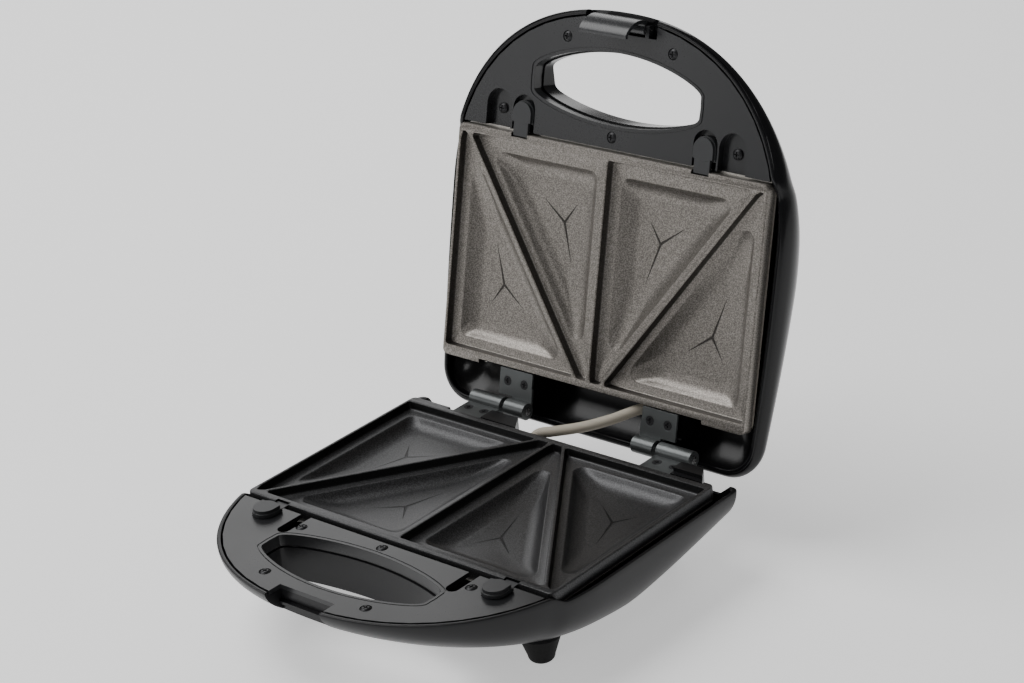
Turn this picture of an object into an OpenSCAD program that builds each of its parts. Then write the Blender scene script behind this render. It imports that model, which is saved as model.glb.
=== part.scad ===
/* [Cooking plates] */
// Width of a cooking plate
plate_w = 208; // [200:1:216]
// Depth of a cooking plate, front to back
plate_d = 131; // [126:1:138]
// Height of the seam between the plates above the worktop
rim_z = 51; // [50:0.5:58]
// Gap between the two plates when the lid is shut
seal_gap = 0.5; // [0.3:0.1:1]
// Corner radius of a plate
plate_corner_r = 3.5; // [3:0.5:9]
// Height of a plate's outer edge
plate_edge_h = 7; // [6.5:0.25:8]
// Width of the raised rim along the plate's sides
side_rim = 2; // [1.5:0.25:3]
// Width of the raised rim along the plate's front
front_rim = 4.5; // [3.5:0.5:5.5]
// Width of the raised rim along the plate's back
back_rim = 6; // [5:0.5:7]
// Width of the ribs that cut the bread
rib_w = 2; // [1.5:0.25:3]
// How far the flat lands lie below the rim
land_drop = 4.5; // [3.5:0.25:5]
// Depth of a pocket below the lands
bowl_depth = 5.5; // [5:0.5:8.5]
// Flat land between a pocket and the nearest rib
rib_land = 6.3; // [5:0.1:8]
// Distance from a plate's long centre line or side to a pocket
pocket_side = 9; // [8:0.5:11]
// Distance from a plate's front edge to a pocket
pocket_front = 12.8; // [11:0.2:15]
// Distance from a plate's back edge to a pocket
pocket_back = 12.3; // [11:0.1:15]
// Corner radius of a pocket
pocket_r = 4.5; // [3:0.5:6]
// Thickness of the cast metal under a pocket
cast_t = 2.5; // [1.5:0.25:3]

/* [Casing] */
// Width of the casing beside a plate
side_margin = 6.3; // [6:0.1:9]
// Reach of the handle in front of the plates
handle_reach = 73; // [70:1:80]
// Where the straight sides begin, behind the plates' front edge
shoulder = 35; // [30:1:45]
// Squareness of the rounded front, 2 is an ellipse
front_power = 2.25; // [2.1:0.05:2.5]
// Wall thickness of the mouldings
wall = 2.2; // [1.8:0.1:2.4]
// Length of the base behind the plates
base_tail = 12; // [10:0.5:12]
// Depth of the base below the seam at its deepest
belly_depth = 40; // [38:0.5:44]
// Depth of the base below the seam at the handle's front
grip_depth = 13; // [12:0.5:15]
// Depth of the base below the seam at its back
tail_depth = 25; // [25:0.5:31]
// Width of the rounding along the base's lower edge
base_round = 20; // [16:0.5:22]
// Height of the lid above the seam
lid_h = 39; // [38:0.5:46]
// Height of the lid above the seam at the handle's front
lid_tip_h = 11; // [10.5:0.25:13]
// Height of the lid above the seam at its back
lid_tail_h = 22; // [22:0.5:30]
// Width of the rounding along the lid's upper edge
lid_round = 28; // [22:0.5:30]
// How far the lid's side bulges out past its rim
lid_bulge = 2.7; // [1:0.1:3.5]
// Length of the lid behind the plates
lid_tail = 24; // [22:0.5:27]
// Distance from the seam to the casing's rim along the sides
side_rim_drop = 6; // [5:0.25:6.5]

/* [Handles] */
// Depth of the base's handle panel below the seam
base_panel_drop = 0.8; // [0.5:0.1:1.5]
// Depth of the lid's handle panel behind the seam
lid_panel_drop = 2.6; // [2:0.1:3.2]
// Thickness of a handle panel
panel_t = 2.4; // [1.8:0.1:2.8]
// Width of the casing's rim that shows round a panel
panel_inset = 3; // [2.8:0.1:4]
// Gap between a panel and the plates' front edge
panel_gap = 3; // [2:0.25:4]
// Half the length of the hand hole
hole_half = 55.5; // [50:0.5:58]
// Distance from the plates' front edge to the hand hole
hole_back = 13.6; // [13:0.2:15]
// Distance from the plates' front edge to the hand hole's front
hole_front = 52; // [50:0.5:54]
// Radius of the hand hole's back edge
hole_back_r = 168; // [150:2:220]
// Radius of the hand hole's front edge
hole_front_r = 128; // [115:1:160]

/* [Hinge and latch] */
// Distance of the hinge pin behind the plates
hinge_back = 19; // [18:0.25:21]
// Depth of the hinge pin below the seam
hinge_drop = 1.7; // [1.5:0.1:2.2]
// Outer diameter of a hinge knuckle
knuckle_d = 9.5; // [9:0.25:10]
// Diameter of a hinge pin
hinge_pin_d = 4; // [3:0.25:5]
// Radial clearance of the hinge pin in its knuckle
pin_play = 0.05; // [0.03:0.01:0.08]
// Thickness of the hinge leaves
leaf_t = 1.5; // [1.2:0.1:1.8]
// Angle of the open lid from the shut lid
open_deg = 104.65; // [95:0.05:108]
// Width of the latch hook
latch_w = 31.5; // [26:0.5:33]
// Travel of a plate release clip
clip_travel = 2.5; // [2:0.1:2.6]

/* [Feet] */
// Diameter of a front foot where it meets the base
foot_top_d = 22; // [18:0.5:24]
// Diameter of a back foot where it meets the base
back_foot_top_d = 18; // [17:0.5:19]
// Diameter of a front foot where it meets the worktop
foot_d = 14; // [12:0.5:17]
// Diameter of a back foot where it meets the worktop
back_foot_d = 16; // [14:0.5:17]
// Distance of the front feet from the centre line
front_foot_x = 80; // [74:0.5:82]
// Distance of the back feet from the centre line
back_foot_x = 66; // [60:0.5:70]
// Distance of the front feet behind the plates' front edge
front_foot_y = 15; // [12:0.5:20]
// Distance of the back feet in front of the plates' back edge
back_foot_inset = 0.5; // [0:0.5:3]

/* [Heating] */
// Diameter of the tubular heating element
element_d = 6.4; // [5.5:0.1:6.6]
// Half the width of the element's loop
element_half = 70; // [60:1:74]
// Thickness of the pressed steel heat tray
tray_t = 0.8; // [0.6:0.1:1.2]
// Depth of the heat tray's shelf below the seam
tray_shelf = 16.5; // [16:0.25:17]
// Depth of the heat tray's floor below the seam
tray_floor = 24.2; // [24:0.1:25]

/* [Hidden] */

// Recess in the back edge of the plates and trays, for the hinge leaves
recess_depth = 2.4;
recess_half = 76.8;
recess_right = 97.5;

// Fineness of true circles
$fn = 48;
// Overshoot of a cut past the face that it opens
cut = 1;
// Clearance between pieces that are fitted but not moving
fit = 0.1;
// Clearance between pieces that slide on each other
slide = 0.3;

// The origin lies on the worktop below the middle of the open toaster, this far behind the plates' middle
origin_back = 8.5;
mid_y = -origin_back;
front_y = mid_y - plate_d / 2;
back_y = mid_y + plate_d / 2;
tip_y = front_y - handle_reach;
side_y = front_y + shoulder;
half_w = plate_w / 2 + side_margin;
front_len = handle_reach + shoulder;
hinge_y = back_y + hinge_back;
hinge_z = rim_z - hinge_drop;

// Points along the outline of one half of the casing
front_steps = 12;
side_steps = 4;
corner_steps = 4;
round_steps = 5;

base_tail_y = back_y + base_tail;
lid_tail_y = back_y + lid_tail;
base_corner_r = 4;
lid_corner_r = 18;
lid_taper = 3.3;
// Share of the lower rounding that the base has along its back
tail_share = 0.4;
// Deepest place of the base and the place where the lid reaches full height
belly_y = front_y + 62;
crown_y = front_y + 52;
belly_power = 1.4;
crown_power = 1.25;
// Share of the side's bulge that the lid has at its front
front_bulge_share = 0.15;
// Dip in the top of the base's back wall, which clears the open lid
dip_half = 98;
dip_slope = 8;
dip_depth = 11.5;
// The rim steps down beside the plates over this length
rim_step_y = front_y - panel_gap;
rim_step_len = 11;
// Depth of the lid's rim at its handle
lid_grip_rim = 2.2;
// Share of the lid's height at which its side bulges most
bulge_share = 0.25;

// Handle panels
panel_edge_y = front_y - panel_gap;
lid_panel_edge_y = front_y - 1.2;
skirt_t = 1.6;
skirt_depth = 6.5;
hole_lip = 1;
hole_lip_depth = 7;
groove_off = 1.6;
groove_w = 0.6;
groove_depth = 0.4;

// Screws
screw_d = 3;
screw_head_d = 5.8;
leaf_screw_head_d = 5.4;
leaf_screw_head_h = 1.2;
screw_head_h = 1.8;
screw_len = 9;
tray_screw_len = 6;
panel_screw_len = 6.5;
boss_d = 8;
panel_sink = 1.2;
base_panel_holes = [[34.3, -56], [-34.3, -56], [0, -7.5], [-51, -13], [65, -14]];
lid_panel_holes = [[35, -56.3], [-35, -56.3], [0, -7.4]];
lid_pocket_holes = [[78.7, -11], [-78.7, -11]];
tray_hole_x = 52;
tray_hole_front = 22;
tray_hole_back = 25;
tray_holes = [for (y = [tray_hole_front, plate_d - tray_hole_back], x = [tray_hole_x, -tray_hole_x]) [x, y]];

// Slots and pockets in the panels
base_slot_x = 57.5;
base_slot_w = 7;
base_slot_end = 19;
pocket_x = 78.3;
pocket_w = 17.5;
pocket_end = 22;
pocket_depth = 4.5;
tub_t = 1.2;

// Release clips
base_clip_x = 78.3;
base_clip_r = 7;
base_clip_y = -11.5;
base_clip_w = 8;
base_clip_top = 3.2;
base_clip_step = 1.4;
lid_clip_x = 60.8;
lid_clip_r = 7;
lid_clip_y = -11;
lid_clip_w = 10;
lid_clip_top = -0.8;
lid_clip_step = -2.6;
lid_clip_deck = 6.2;
clip_pocket_r = 7.6;
thumb_short = 1.6;
thumb_step = 0.7;
lift = 0.2;
clip_nose = 1.6;
clip_nose_top = 0.9;
clip_nose_bottom = 2.8;
notch_floor = 3.1;
notch_back = 2.2;
slider_front = -15;
slider_back = -5;
slider_h = 4;
guide_half = 6.2;
spring_len = 7;
spring_d = 4.6;
spring_wire = 0.7;
spring_turns = 5;

// Latch
latch_pin_d = 2.5;
latch_y = front_y - 66;
latch_h = 4;
latch_recess = 7;
latch_barrel_d = 5.4;
latch_gap_half = 5;
lid_notch_half = 23.8;
base_notch_half = 18.5;
base_notch_y = front_y - 61;
ledge_y = front_y - 63.4;
ledge_top = 9;
ledge_t = 1.6;
ear_t = 2.4;

// Hinge
lid_knuckle_x = [37.5, 51.5];
base_knuckle_x = [54, 76];
lid_leaf_x = [38, 61];
leaf_front_y = back_y + 1 - recess_depth;
knuckle_front_y = back_y + 7;
base_leaf_top = 2.2;
lid_leaf_top = 0.5;
hinge_block_x = [53, 76.5];
hinge_block_end = back_y + 11.5;
hinge_block_h = 18;
// Raised blocks beside the hinges, wider at their front than at their back
inner_rest_x = [-54, -35.5, -29];
outer_rest_x = [76, 90, 96.5];
rest_end = back_y + 9;
rest_top = 0.2;
rest_bottom = 13.5;
rest_lip_y = back_y + 1.6;
rest_lip_top = -2;
lid_leaf_screw_x = [43.5, 55.3];
base_leaf_screw_x = [60, 71];
lid_leaf_screw_back = 5.6;
base_leaf_screw_back = 8.4;

// Heat tray
tray_flange_t = tray_t;
tray_lip = [1, 0.5];
tray_top_half = plate_w / 2 - 3.5;
tray_low_half = plate_w / 2 - 10.5;
tray_top_edge = 3.5;
tray_low_edge = 10;
tray_low_r = 10;
tray_corner_r = 6;
element_r = 12;
element_front = 30;
element_back = plate_d - 30;
element_tail_x = 14;
element_tail = 16;
element_z = -(tray_floor - tray_t - element_d / 2 - fit);
saddle_x = [-element_half, element_half];
saddle_y = mid_y;
saddle_w = 8;
saddle_foot = 7;
saddle_t = 1;

// Lamps and thermostat in the lid
lamp_x = 12;
lamp_y = front_y + 42;
lens_d = 8;
lamp_d = 5;
lens_stand = 1.2;
lamp_boss_d = 11.5;
lamp_boss_h = 6;

// Mains gland, terminal block and the sleeved leads between the halves
gland_x = -32;
gland_depth = 18.5;
gland_bore_d = 6;
gland_neck_d = 9;
gland_flange_d = 12;
terminal_x = -32;
terminal_bottom = 25;
terminal_h = 8;
sleeve_d = 6;
// Route of the sleeve from the base to the open lid: across, behind the plates and above their seam
sleeve_route = [[-21.5, 1, -16.5], [-22.5, 3, -12.5], [-22.5, 5, -8.5], [-19, 7, -4.8], [-11.3, 10, -3],
  [-3, 12.8, -0.9], [5, 15.5, 1.4], [13, 18.7, 4.2], [20.8, 22, 7.3], [26.5, 26, 9.8], [31, 30, 11.6],
    [34, 34, 12], [35, 38, 11.8]];

// Rises smoothly from 0 to 1 while s goes from 0 to 1
function smooth(s) = let (t = min(1, max(0, s))) t * t * (3 - 2 * t);

// Outline of the casing, from the front round the right side to the back and round the left
function half_outline(hw, front, tail, r, taper) = concat(
  [for (k = [0:front_steps]) let (t = 4 + 86 * k / front_steps)
    [hw * pow(sin(t), 2 / front_power), side_y - front * pow(cos(t), 2 / front_power)]],
  [for (k = [1:side_steps]) let (f = k / side_steps)
    [hw - taper * f * f, side_y + (tail - r - side_y) * f]],
  [for (k = [1:corner_steps]) let (a = 90 * k / corner_steps)
    [hw - taper - r + r * cos(a), tail - r + r * sin(a)]]);
function outline(hw, front, tail, r, taper) =
  let (h = half_outline(hw, front, tail, r, taper), n = len(h))
  concat(h, [for (i = [n - 1:-1:0]) [-h[i][0], h[i][1]]]);

// Depth below the seam of the base's underside, of the lid's top and of their rims
function base_depth(y) = y < belly_y
  ? belly_depth - (belly_depth - grip_depth) * pow((belly_y - y) / (belly_y - tip_y), belly_power)
  : belly_depth - (belly_depth - tail_depth) * pow((y - belly_y) / (base_tail_y - belly_y), belly_power);
function lid_depth(y) = y < crown_y
  ? lid_tip_h + (lid_h - lid_tip_h) * smooth((y - tip_y) / (crown_y - tip_y))
  : lid_h - (lid_h - lid_tail_h) * pow((y - crown_y) / (lid_tail_y + lid_bulge - crown_y), crown_power);
function rim_depth(y, grip) = grip + (side_rim_drop - grip) * smooth((y - rim_step_y) / rim_step_len);

// One ring of the base at an angle round its lower edge, moved in by t and up by t
function base_ring(a, t) =
  let (e = t + base_round * (1 - cos(a)), r = max(1.5, base_corner_r - e * tail_share))
  [for (p = outline(half_w - e, front_len - e, base_tail_y - t - (e - t) * tail_share, r, 0))
    let (rim = rim_depth(p[1], base_panel_drop))
    [p[0], p[1], -rim - (base_depth(p[1]) - t - rim) * sin(a)]];
// One ring of the lid's cover: inset from its widest line, and share of its height
function lid_ring(inset, share, t) =
  let (e = inset + t, hw = half_w + lid_bulge - e, tail = lid_tail_y + lid_bulge - e,
    front = front_len - t + (lid_bulge - inset) * (inset < lid_bulge ? front_bulge_share : 1))
  [for (p = outline(hw, front, tail, max(3, lid_corner_r + lid_bulge - e), lid_taper))
    let (rim = rim_depth(p[1], lid_grip_rim))
    [p[0], p[1], -rim - (lid_depth(p[1]) - t - rim) * share]];
lid_profile = concat([[lid_bulge, 0], [lid_bulge * 0.25, bulge_share * 0.5]],
  [for (k = [0:round_steps]) let (a = 90 * k / round_steps)
    [lid_round * (1 - cos(a)), bulge_share + (1 - bulge_share) * sin(a)]]);
function base_rings(t) = [for (k = [round_steps:-1:0]) base_ring(90 * k / round_steps, t)];
function lid_rings(t) = [for (k = [len(lid_profile) - 1:-1:0]) lid_ring(lid_profile[k][0],
  lid_profile[k][1], t)];
function flipped(list) = [for (i = [len(list) - 1:-1:0]) list[i]];

// Skin through rings of equal length, closed at both ends by strips from side to side
module loft(rings) {
  n = len(rings[0]);
  m = len(rings);
  sides = [for (k = [0:m - 2], i = [0:n - 1])
    let (a = k * n + i, b = k * n + (i + 1) % n) each [[a, a + n, b + n], [a, b + n, b]]];
  first = [for (i = [0:n / 2 - 2]) each [[i, i + 1, n - 1 - i], [i + 1, n - 2 - i, n - 1 - i]]];
  last = [for (f = first) [f[2] + (m - 1) * n, f[1] + (m - 1) * n, f[0] + (m - 1) * n]];
  polyhedron(points = [for (r = rings) each r], faces = concat(first, sides, last));
}

// Tube along a list of points, with each ring square to the route
module tube(route, d, sides) {
  n = len(route);
  rings = [for (i = [0:n - 1])
    let (a = route[max(0, i - 1)], b = route[min(n - 1, i + 1)], t = (b - a) / norm(b - a),
      side = cross([0, 0, 1], t), u = norm(side) < 0.05 ? [1, 0, 0] : side / norm(side), v = cross(t, u))
    [for (k = [0:sides - 1]) route[i] + d / 2 * (u * cos(360 * k / sides) + v * sin(360 * k / sides))]];
  loft(flipped([for (r = rings) flipped(r)]));
}

// Hand hole, grown outward by g
function hole_points(g) =
  let (steps = 14, length = hole_half + g,
    upper = [for (k = [-steps:steps]) let (x = length * sin(90 * k / steps)) x])
  let (end = [for (x = upper) pow(1 - pow(abs(x) / length, 8), 1 / 8)],
    back = [for (x = upper) front_y - hole_back - x * x / (2 * hole_back_r) + g],
    front = [for (x = upper) front_y - hole_front + x * x / (2 * hole_front_r) - g])
  concat(
    [for (i = [0:len(upper) - 1]) [upper[i], (back[i] + front[i]) / 2 - (back[i] - front[i]) / 2 * end[i]]],
    [for (i = [len(upper) - 2:-1:1]) [upper[i], (back[i] + front[i]) / 2 + (back[i] - front[i])
      / 2 * end[i]]]);

// Block between two depths below the seam with a flat outline
module slab(top, bottom) {
  translate([0, 0, -bottom]) linear_extrude(bottom - top) children();
}
module box(x, y, top, bottom) {
  translate([x[0], y[0], -bottom]) cube([x[1] - x[0], y[1] - y[0], bottom - top]);
}
module both_sides() {
  children();
  mirror([1, 0, 0]) children();
}
module rounded_rect(half, y0, y1, r) {
  polygon([for (c = [[half - r, y0 + r, -90], [half - r, y1 - r, 0], [r - half, y1 - r, 90],
    [r - half, y0 + r, 180]], k = [0:6]) [c[0] + r * cos(c[2] + 15 * k), c[1] + r * sin(c[2] + 15 * k)]]);
}
module pillar(p, d, top, bottom) {
  translate([p[0], front_y + p[1], -bottom]) cylinder(d = d, h = bottom - top);
}

// Places the halves: both are drawn with the seam at zero and their depth downward
module in_base() {
  translate([0, 0, rim_z]) children();
}
module in_lid() {
  translate([0, hinge_y, hinge_z]) rotate([-open_deg, 0, 0]) translate([0, -hinge_y, -hinge_z])
    translate([0, 0, rim_z + seal_gap]) mirror([0, 0, 1]) children();
}

// Screw standing head up at a depth, with a cross recess
module screw(p, depth, length) {
  translate([p[0], front_y + p[1], -depth]) difference() {
    union() {
      cylinder(d = screw_head_d, h = screw_head_h * 0.5);
      translate([0, 0, screw_head_h * 0.5]) cylinder(d1 = screw_head_d, d2 = screw_head_d * 0.6,
        h = screw_head_h * 0.5);
      translate([0, 0, -length]) cylinder(d = screw_d, h = length + fit);
    }
    cross_recess(screw_head_d, screw_head_h * 0.4);
  }
}
module cross_recess(head_d, bottom) {
  slot_w = 0.7;
  for (a = [0, 90]) rotate([0, 0, a]) translate([-head_d * 0.28, -slot_w / 2, bottom])
    cube([head_d * 0.56, slot_w, screw_head_h]);
}
// Countersunk screw, flush with the hinge leaf that it holds, and its hole in the leaf
module sunk_screw(p, top) {
  translate([p[0], front_y + p[1], -top]) difference() {
    union() {
      translate([0, 0, -leaf_screw_head_h]) cylinder(d1 = screw_d, d2 = leaf_screw_head_d,
        h = leaf_screw_head_h);
      translate([0, 0, -screw_len]) cylinder(d = screw_d, h = screw_len - leaf_screw_head_h + fit);
    }
    cross_recess(leaf_screw_head_d, -leaf_screw_head_h * 0.7);
  }
}
module sunk_hole(p, top) {
  pillar(p, screw_d + fit, top - cut, top + leaf_t + cut);
  pillar(p, leaf_screw_head_d + fit, top - cut, top);
  translate([p[0], front_y + p[1], -top - leaf_screw_head_h])
    cylinder(d1 = screw_d + fit, d2 = leaf_screw_head_d + fit, h = leaf_screw_head_h);
}
// Places of a hinge leaf's screws
function leaf_screws(list, back) = [for (x = list) [x, plate_d + back]];
module pilot(p, top, length) {
  pillar(p, screw_d + fit, top - cut, top + length);
}

// One half of the casing without its own details
module base_skin() {
  loft(concat(base_rings(0), flipped(base_rings(wall))));
}
module lid_skin() {
  loft(concat(lid_rings(0), flipped(lid_rings(wall))));
}

// Guide of a release clip: a block with a trough, and the trough itself
module clip_guide(x, under) {
  box([x - guide_half, x + guide_half], [front_y + slider_front - spring_len - 3, front_y - 3.4],
    under + fit, lid_h * 2);
}
module clip_trough(x, under, w) {
  box([x - w / 2 - slide, x + w / 2 + slide], [front_y + slider_front - spring_len, front_y],
    under - cut, under + slider_h + 2 * slide);
}

// Boss over a foot, which tapers into the casing
module foot_seat(x, y, depth, d) {
  translate([x, y, -depth]) cylinder(d1 = d + 1, d2 = d - 7, h = 8);
}
front_foot = [front_foot_x, front_y + front_foot_y];
back_foot = [back_foot_x, back_y - back_foot_inset];
front_seat = base_depth(front_foot[1]) + 2;
back_seat = base_depth(back_foot[1]) + 3;
foot_edge = 3.5;
back_foot_edge = 2;
base_under = base_panel_drop + panel_t;
lid_under = lid_panel_drop + panel_t;

module hinge_rest(x, top) {
  y = [leaf_front_y + 3 * fit, rest_end];
  slab(top, rest_bottom) polygon([[x[0], y[0]], [x[2], y[0]], [x[1], y[1]], [x[0], y[1]]]);
}
module tail_dip() {
  translate([0, base_tail_y + cut, 0]) rotate([90, 0, 0]) linear_extrude(base_corner_r + 2 * cut)
    polygon([[-dip_half, -dip_depth], [dip_half, -dip_depth], [dip_half + dip_slope, cut - side_rim_drop],
      [-dip_half - dip_slope, cut - side_rim_drop]]);
}

module base_shell() {
  color([0.10, 0.10, 0.11]) in_base() difference() {
    union() {
      difference() {
        base_skin();
        tail_dip();
      }
      intersection() {
        union() {
          slab(base_panel_drop + hole_lip_depth, belly_depth) polygon(hole_points(skirt_t - 0.2));
          for (p = base_panel_holes) pillar(p, boss_d, base_under, belly_depth);
          for (p = tray_holes) pillar(p, boss_d + 1, tray_floor, belly_depth);
          both_sides() clip_guide(base_clip_x, base_under);
          box([terminal_x - 9, terminal_x + 9], [back_y - 9, back_y], terminal_bottom, belly_depth);
          box([-base_notch_half - wall, base_notch_half + wall], [tip_y, base_notch_y + wall],
            base_under, belly_depth);
        }
        loft(base_rings(wall / 2));
      }
      both_sides() foot_seat(front_foot[0], front_foot[1], front_seat, foot_top_d);
      both_sides() foot_seat(back_foot[0], back_foot[1], back_seat, back_foot_top_d);
      both_sides() box(hinge_block_x, [leaf_front_y + fit, hinge_block_end], base_leaf_top + leaf_t,
        base_leaf_top + leaf_t + hinge_block_h);
      hinge_rest(inner_rest_x, rest_top);
      hinge_rest(outer_rest_x, rest_top);
      intersection() {
        hinge_rest(outer_rest_x, rest_lip_top);
        box([0, half_w], [rest_lip_y, base_tail_y], rest_lip_top, belly_depth);
      }
    }
    slab(-cut, belly_depth + cut) polygon(hole_points(-hole_lip));
    box([-base_notch_half, base_notch_half], [tip_y - cut, base_notch_y], -cut, ledge_top);
    box([-base_notch_half, base_notch_half], [tip_y - cut, ledge_y], -cut, belly_depth);
    box([-base_notch_half, base_notch_half], [tip_y - cut, base_notch_y], ledge_top + ledge_t, belly_depth);
    for (p = base_panel_holes) pilot(p, base_under, panel_screw_len);
    for (p = tray_holes) pilot(p, tray_floor, tray_screw_len);
    both_sides() clip_trough(base_clip_x, base_under, base_clip_w);
    both_sides() for (p = leaf_screws(base_leaf_screw_x, base_leaf_screw_back))
      pilot(p, base_leaf_top, screw_len + cut);
    translate([gland_x, base_tail_y + cut, -gland_depth]) rotate([90, 0, 0])
      cylinder(d = gland_neck_d + fit, h = 12);
  }
}

// Flat front panel with its skirt down the hand hole
module panel_blank(drop, edge_y, inset_from) {
  intersection() {
    union() {
      slab(drop, drop + panel_t) polygon(outline(half_w - inset_from, front_len - inset_from, back_y, 5, 0));
      slab(drop + fit, drop + skirt_depth) polygon(hole_points(skirt_t));
      children();
    }
    box([-half_w, half_w], [tip_y, edge_y], 0, lid_h);
  }
}

// Fine groove in a panel's face, round the hand hole
module hole_groove(drop) {
  slab(-cut, drop + groove_depth) difference() {
    polygon(hole_points(groove_off + groove_w));
    polygon(hole_points(groove_off));
  }
}

// Slot from the plates' front edge forward, with a round end
module u_slot(x, w, reach) {
  translate([x, front_y - reach + w / 2]) circle(d = w);
  translate([x - w / 2, front_y - reach + w / 2]) square([w, reach]);
}

module base_handle_panel() {
  color([0.36, 0.37, 0.39]) in_base() difference() {
    panel_blank(base_panel_drop, panel_edge_y, panel_inset);
    slab(-cut, lid_h) polygon(hole_points(0));
    hole_groove(base_panel_drop);
    box([-base_notch_half - fit, base_notch_half + fit], [tip_y - cut, base_notch_y - fit], -cut, lid_h);
    both_sides() slab(-cut, lid_h) u_slot(base_slot_x, base_slot_w, base_slot_end + base_slot_w / 2);
    both_sides() box([base_clip_x - base_clip_w / 2 - slide, base_clip_x + base_clip_w / 2 + slide],
      [front_y + slider_front - clip_travel, front_y], -cut, lid_h);
    for (p = base_panel_holes) {
      pillar(p, screw_head_d + 0.4, -cut, base_panel_drop + panel_sink);
      pillar(p, screw_d + fit, -cut, lid_h);
    }
  }
}

module back_recess(right) {
  box([-recess_half, right], [back_y - recess_depth, back_y + 2 * cut], -cut, tray_shelf);
}

// Pressed steel tray that holds an element and carries a plate
module heat_tray(right) {
  difference() {
    union() {
      slab(plate_edge_h, plate_edge_h + tray_flange_t)
        rounded_rect(plate_w / 2 + tray_lip[1], front_y - tray_lip[0], back_y + tray_lip[1], tray_corner_r);
      slab(plate_edge_h, tray_shelf) rounded_rect(tray_top_half, front_y + tray_top_edge,
        back_y - tray_top_edge, tray_corner_r);
      slab(tray_shelf - tray_t, tray_floor)
        rounded_rect(tray_low_half, front_y + tray_low_edge, back_y - tray_low_edge, tray_low_r);
    }
    slab(plate_edge_h - cut, tray_shelf - tray_t)
      rounded_rect(tray_top_half - tray_t, front_y + tray_top_edge + tray_t,
        back_y - tray_top_edge - tray_t, tray_corner_r - tray_t);
    slab(tray_shelf - tray_t - cut, tray_floor - tray_t)
      rounded_rect(tray_low_half - tray_t, front_y + tray_low_edge + tray_t,
        back_y - tray_low_edge - tray_t, tray_low_r - tray_t);
    back_recess(right);
    for (p = tray_holes) pillar(p, screw_d + fit, tray_floor - tray_t - cut, tray_floor + cut);
    for (x = [-element_tail_x, element_tail_x]) translate([x, back_y, element_z]) rotate([90, 0, 0])
      cylinder(d = element_d + 2 * fit, h = 2 * tray_low_edge);
  }
}

module base_heat_tray() {
  color([0.55, 0.56, 0.57]) in_base() heat_tray(recess_right);
}
module lid_heat_tray() {
  color([0.55, 0.56, 0.57]) in_lid() heat_tray(recess_half);
}

// Tubular element bent into a loop, with two cold tails out through the tray's back wall
module element() {
  x1 = element_half;
  y0 = front_y + element_front;
  y1 = front_y + element_back;
  tail_y = back_y - tray_low_edge - tray_t - element_r;
  translate([0, 0, element_z]) {
    rod([-x1 + element_r, y0, 0], [x1 - element_r, y0, 0]);
    both_sides() {
      bend([x1 - element_r, y0 + element_r], -90);
      rod([x1, y0 + element_r, 0], [x1, y1 - element_r, 0]);
      bend([x1 - element_r, y1 - element_r], 0);
      rod([element_tail_x + element_r, y1, 0], [x1 - element_r, y1, 0]);
      bend([element_tail_x + element_r, y1 + element_r], 180);
      rod([element_tail_x, y1 + element_r, 0],
        [element_tail_x, back_y - tray_low_edge + element_tail - 6, 0]);
    }
  }
}
module rod(a, b) {
  d = b - a;
  translate(a) rotate([0, 90, atan2(d[1], d[0])]) cylinder(d = element_d, h = norm(d));
}
module bend(c, start) {
  translate([c[0], c[1], 0]) rotate([0, 0, start]) rotate_extrude(angle = 90) translate([element_r, 0])
    circle(d = element_d);
}

module lower_heating_element() {
  color([0.30, 0.29, 0.28]) in_base() element();
}
module upper_heating_element() {
  color([0.30, 0.29, 0.28]) in_lid() element();
}

// Spring steel saddles that hold the element down on the tray's floor
module saddles() {
  along = [saddle_y - saddle_w / 2, saddle_y + saddle_w / 2];
  past = [along[0] - cut, along[1] + cut];
  bore_r = element_d / 2 + fit;
  foot_half = element_d / 2 + saddle_foot;
  base = tray_floor - tray_t;
  for (x = saddle_x) difference() {
    union() {
      translate([x, along[0], element_z]) rotate([-90, 0, 0]) cylinder(r = bore_r + saddle_t, h = saddle_w);
      box([x - foot_half, x + foot_half], along, base - saddle_t, base);
    }
    translate([x, past[0], element_z]) rotate([-90, 0, 0]) cylinder(r = bore_r, h = saddle_w + 2 * cut);
    box([x - element_d, x + element_d], past, base, base + element_d);
    box([x - bore_r, x + bore_r], past, -element_z, base + element_d);
  }
}
module base_element_saddles() {
  color([0.62, 0.62, 0.62]) in_base() saddles();
}
module lid_element_saddles() {
  color([0.62, 0.62, 0.62]) in_lid() saddles();
}

// The diagonal rib of a plate's right half, from the outer front to the middle of the back
rib_front = [plate_w / 2 - 8, front_y + 5];
rib_back = [9.4, back_y - 6.9];
rib_dir = (rib_back - rib_front) / norm(rib_back - rib_front);
rib_side = [-rib_dir[1], rib_dir[0]];
function on_line_y(p, y) = [p[0] + rib_dir[0] * (y - p[1]) / rib_dir[1], y];
function on_line_x(p, x) = [x, p[1] + rib_dir[1] * (x - p[0]) / rib_dir[0]];
inner_line = rib_front + rib_side * rib_land;
outer_line = rib_front - rib_side * rib_land;
front_pocket = [[pocket_side, front_y + pocket_front], on_line_y(inner_line, front_y + pocket_front),
  on_line_x(inner_line, pocket_side)];
back_pocket = [on_line_x(outer_line, plate_w / 2 - pocket_side),
  [plate_w / 2 - pocket_side, back_y - pocket_back],
  on_line_y(outer_line, back_y - pocket_back)];

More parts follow.
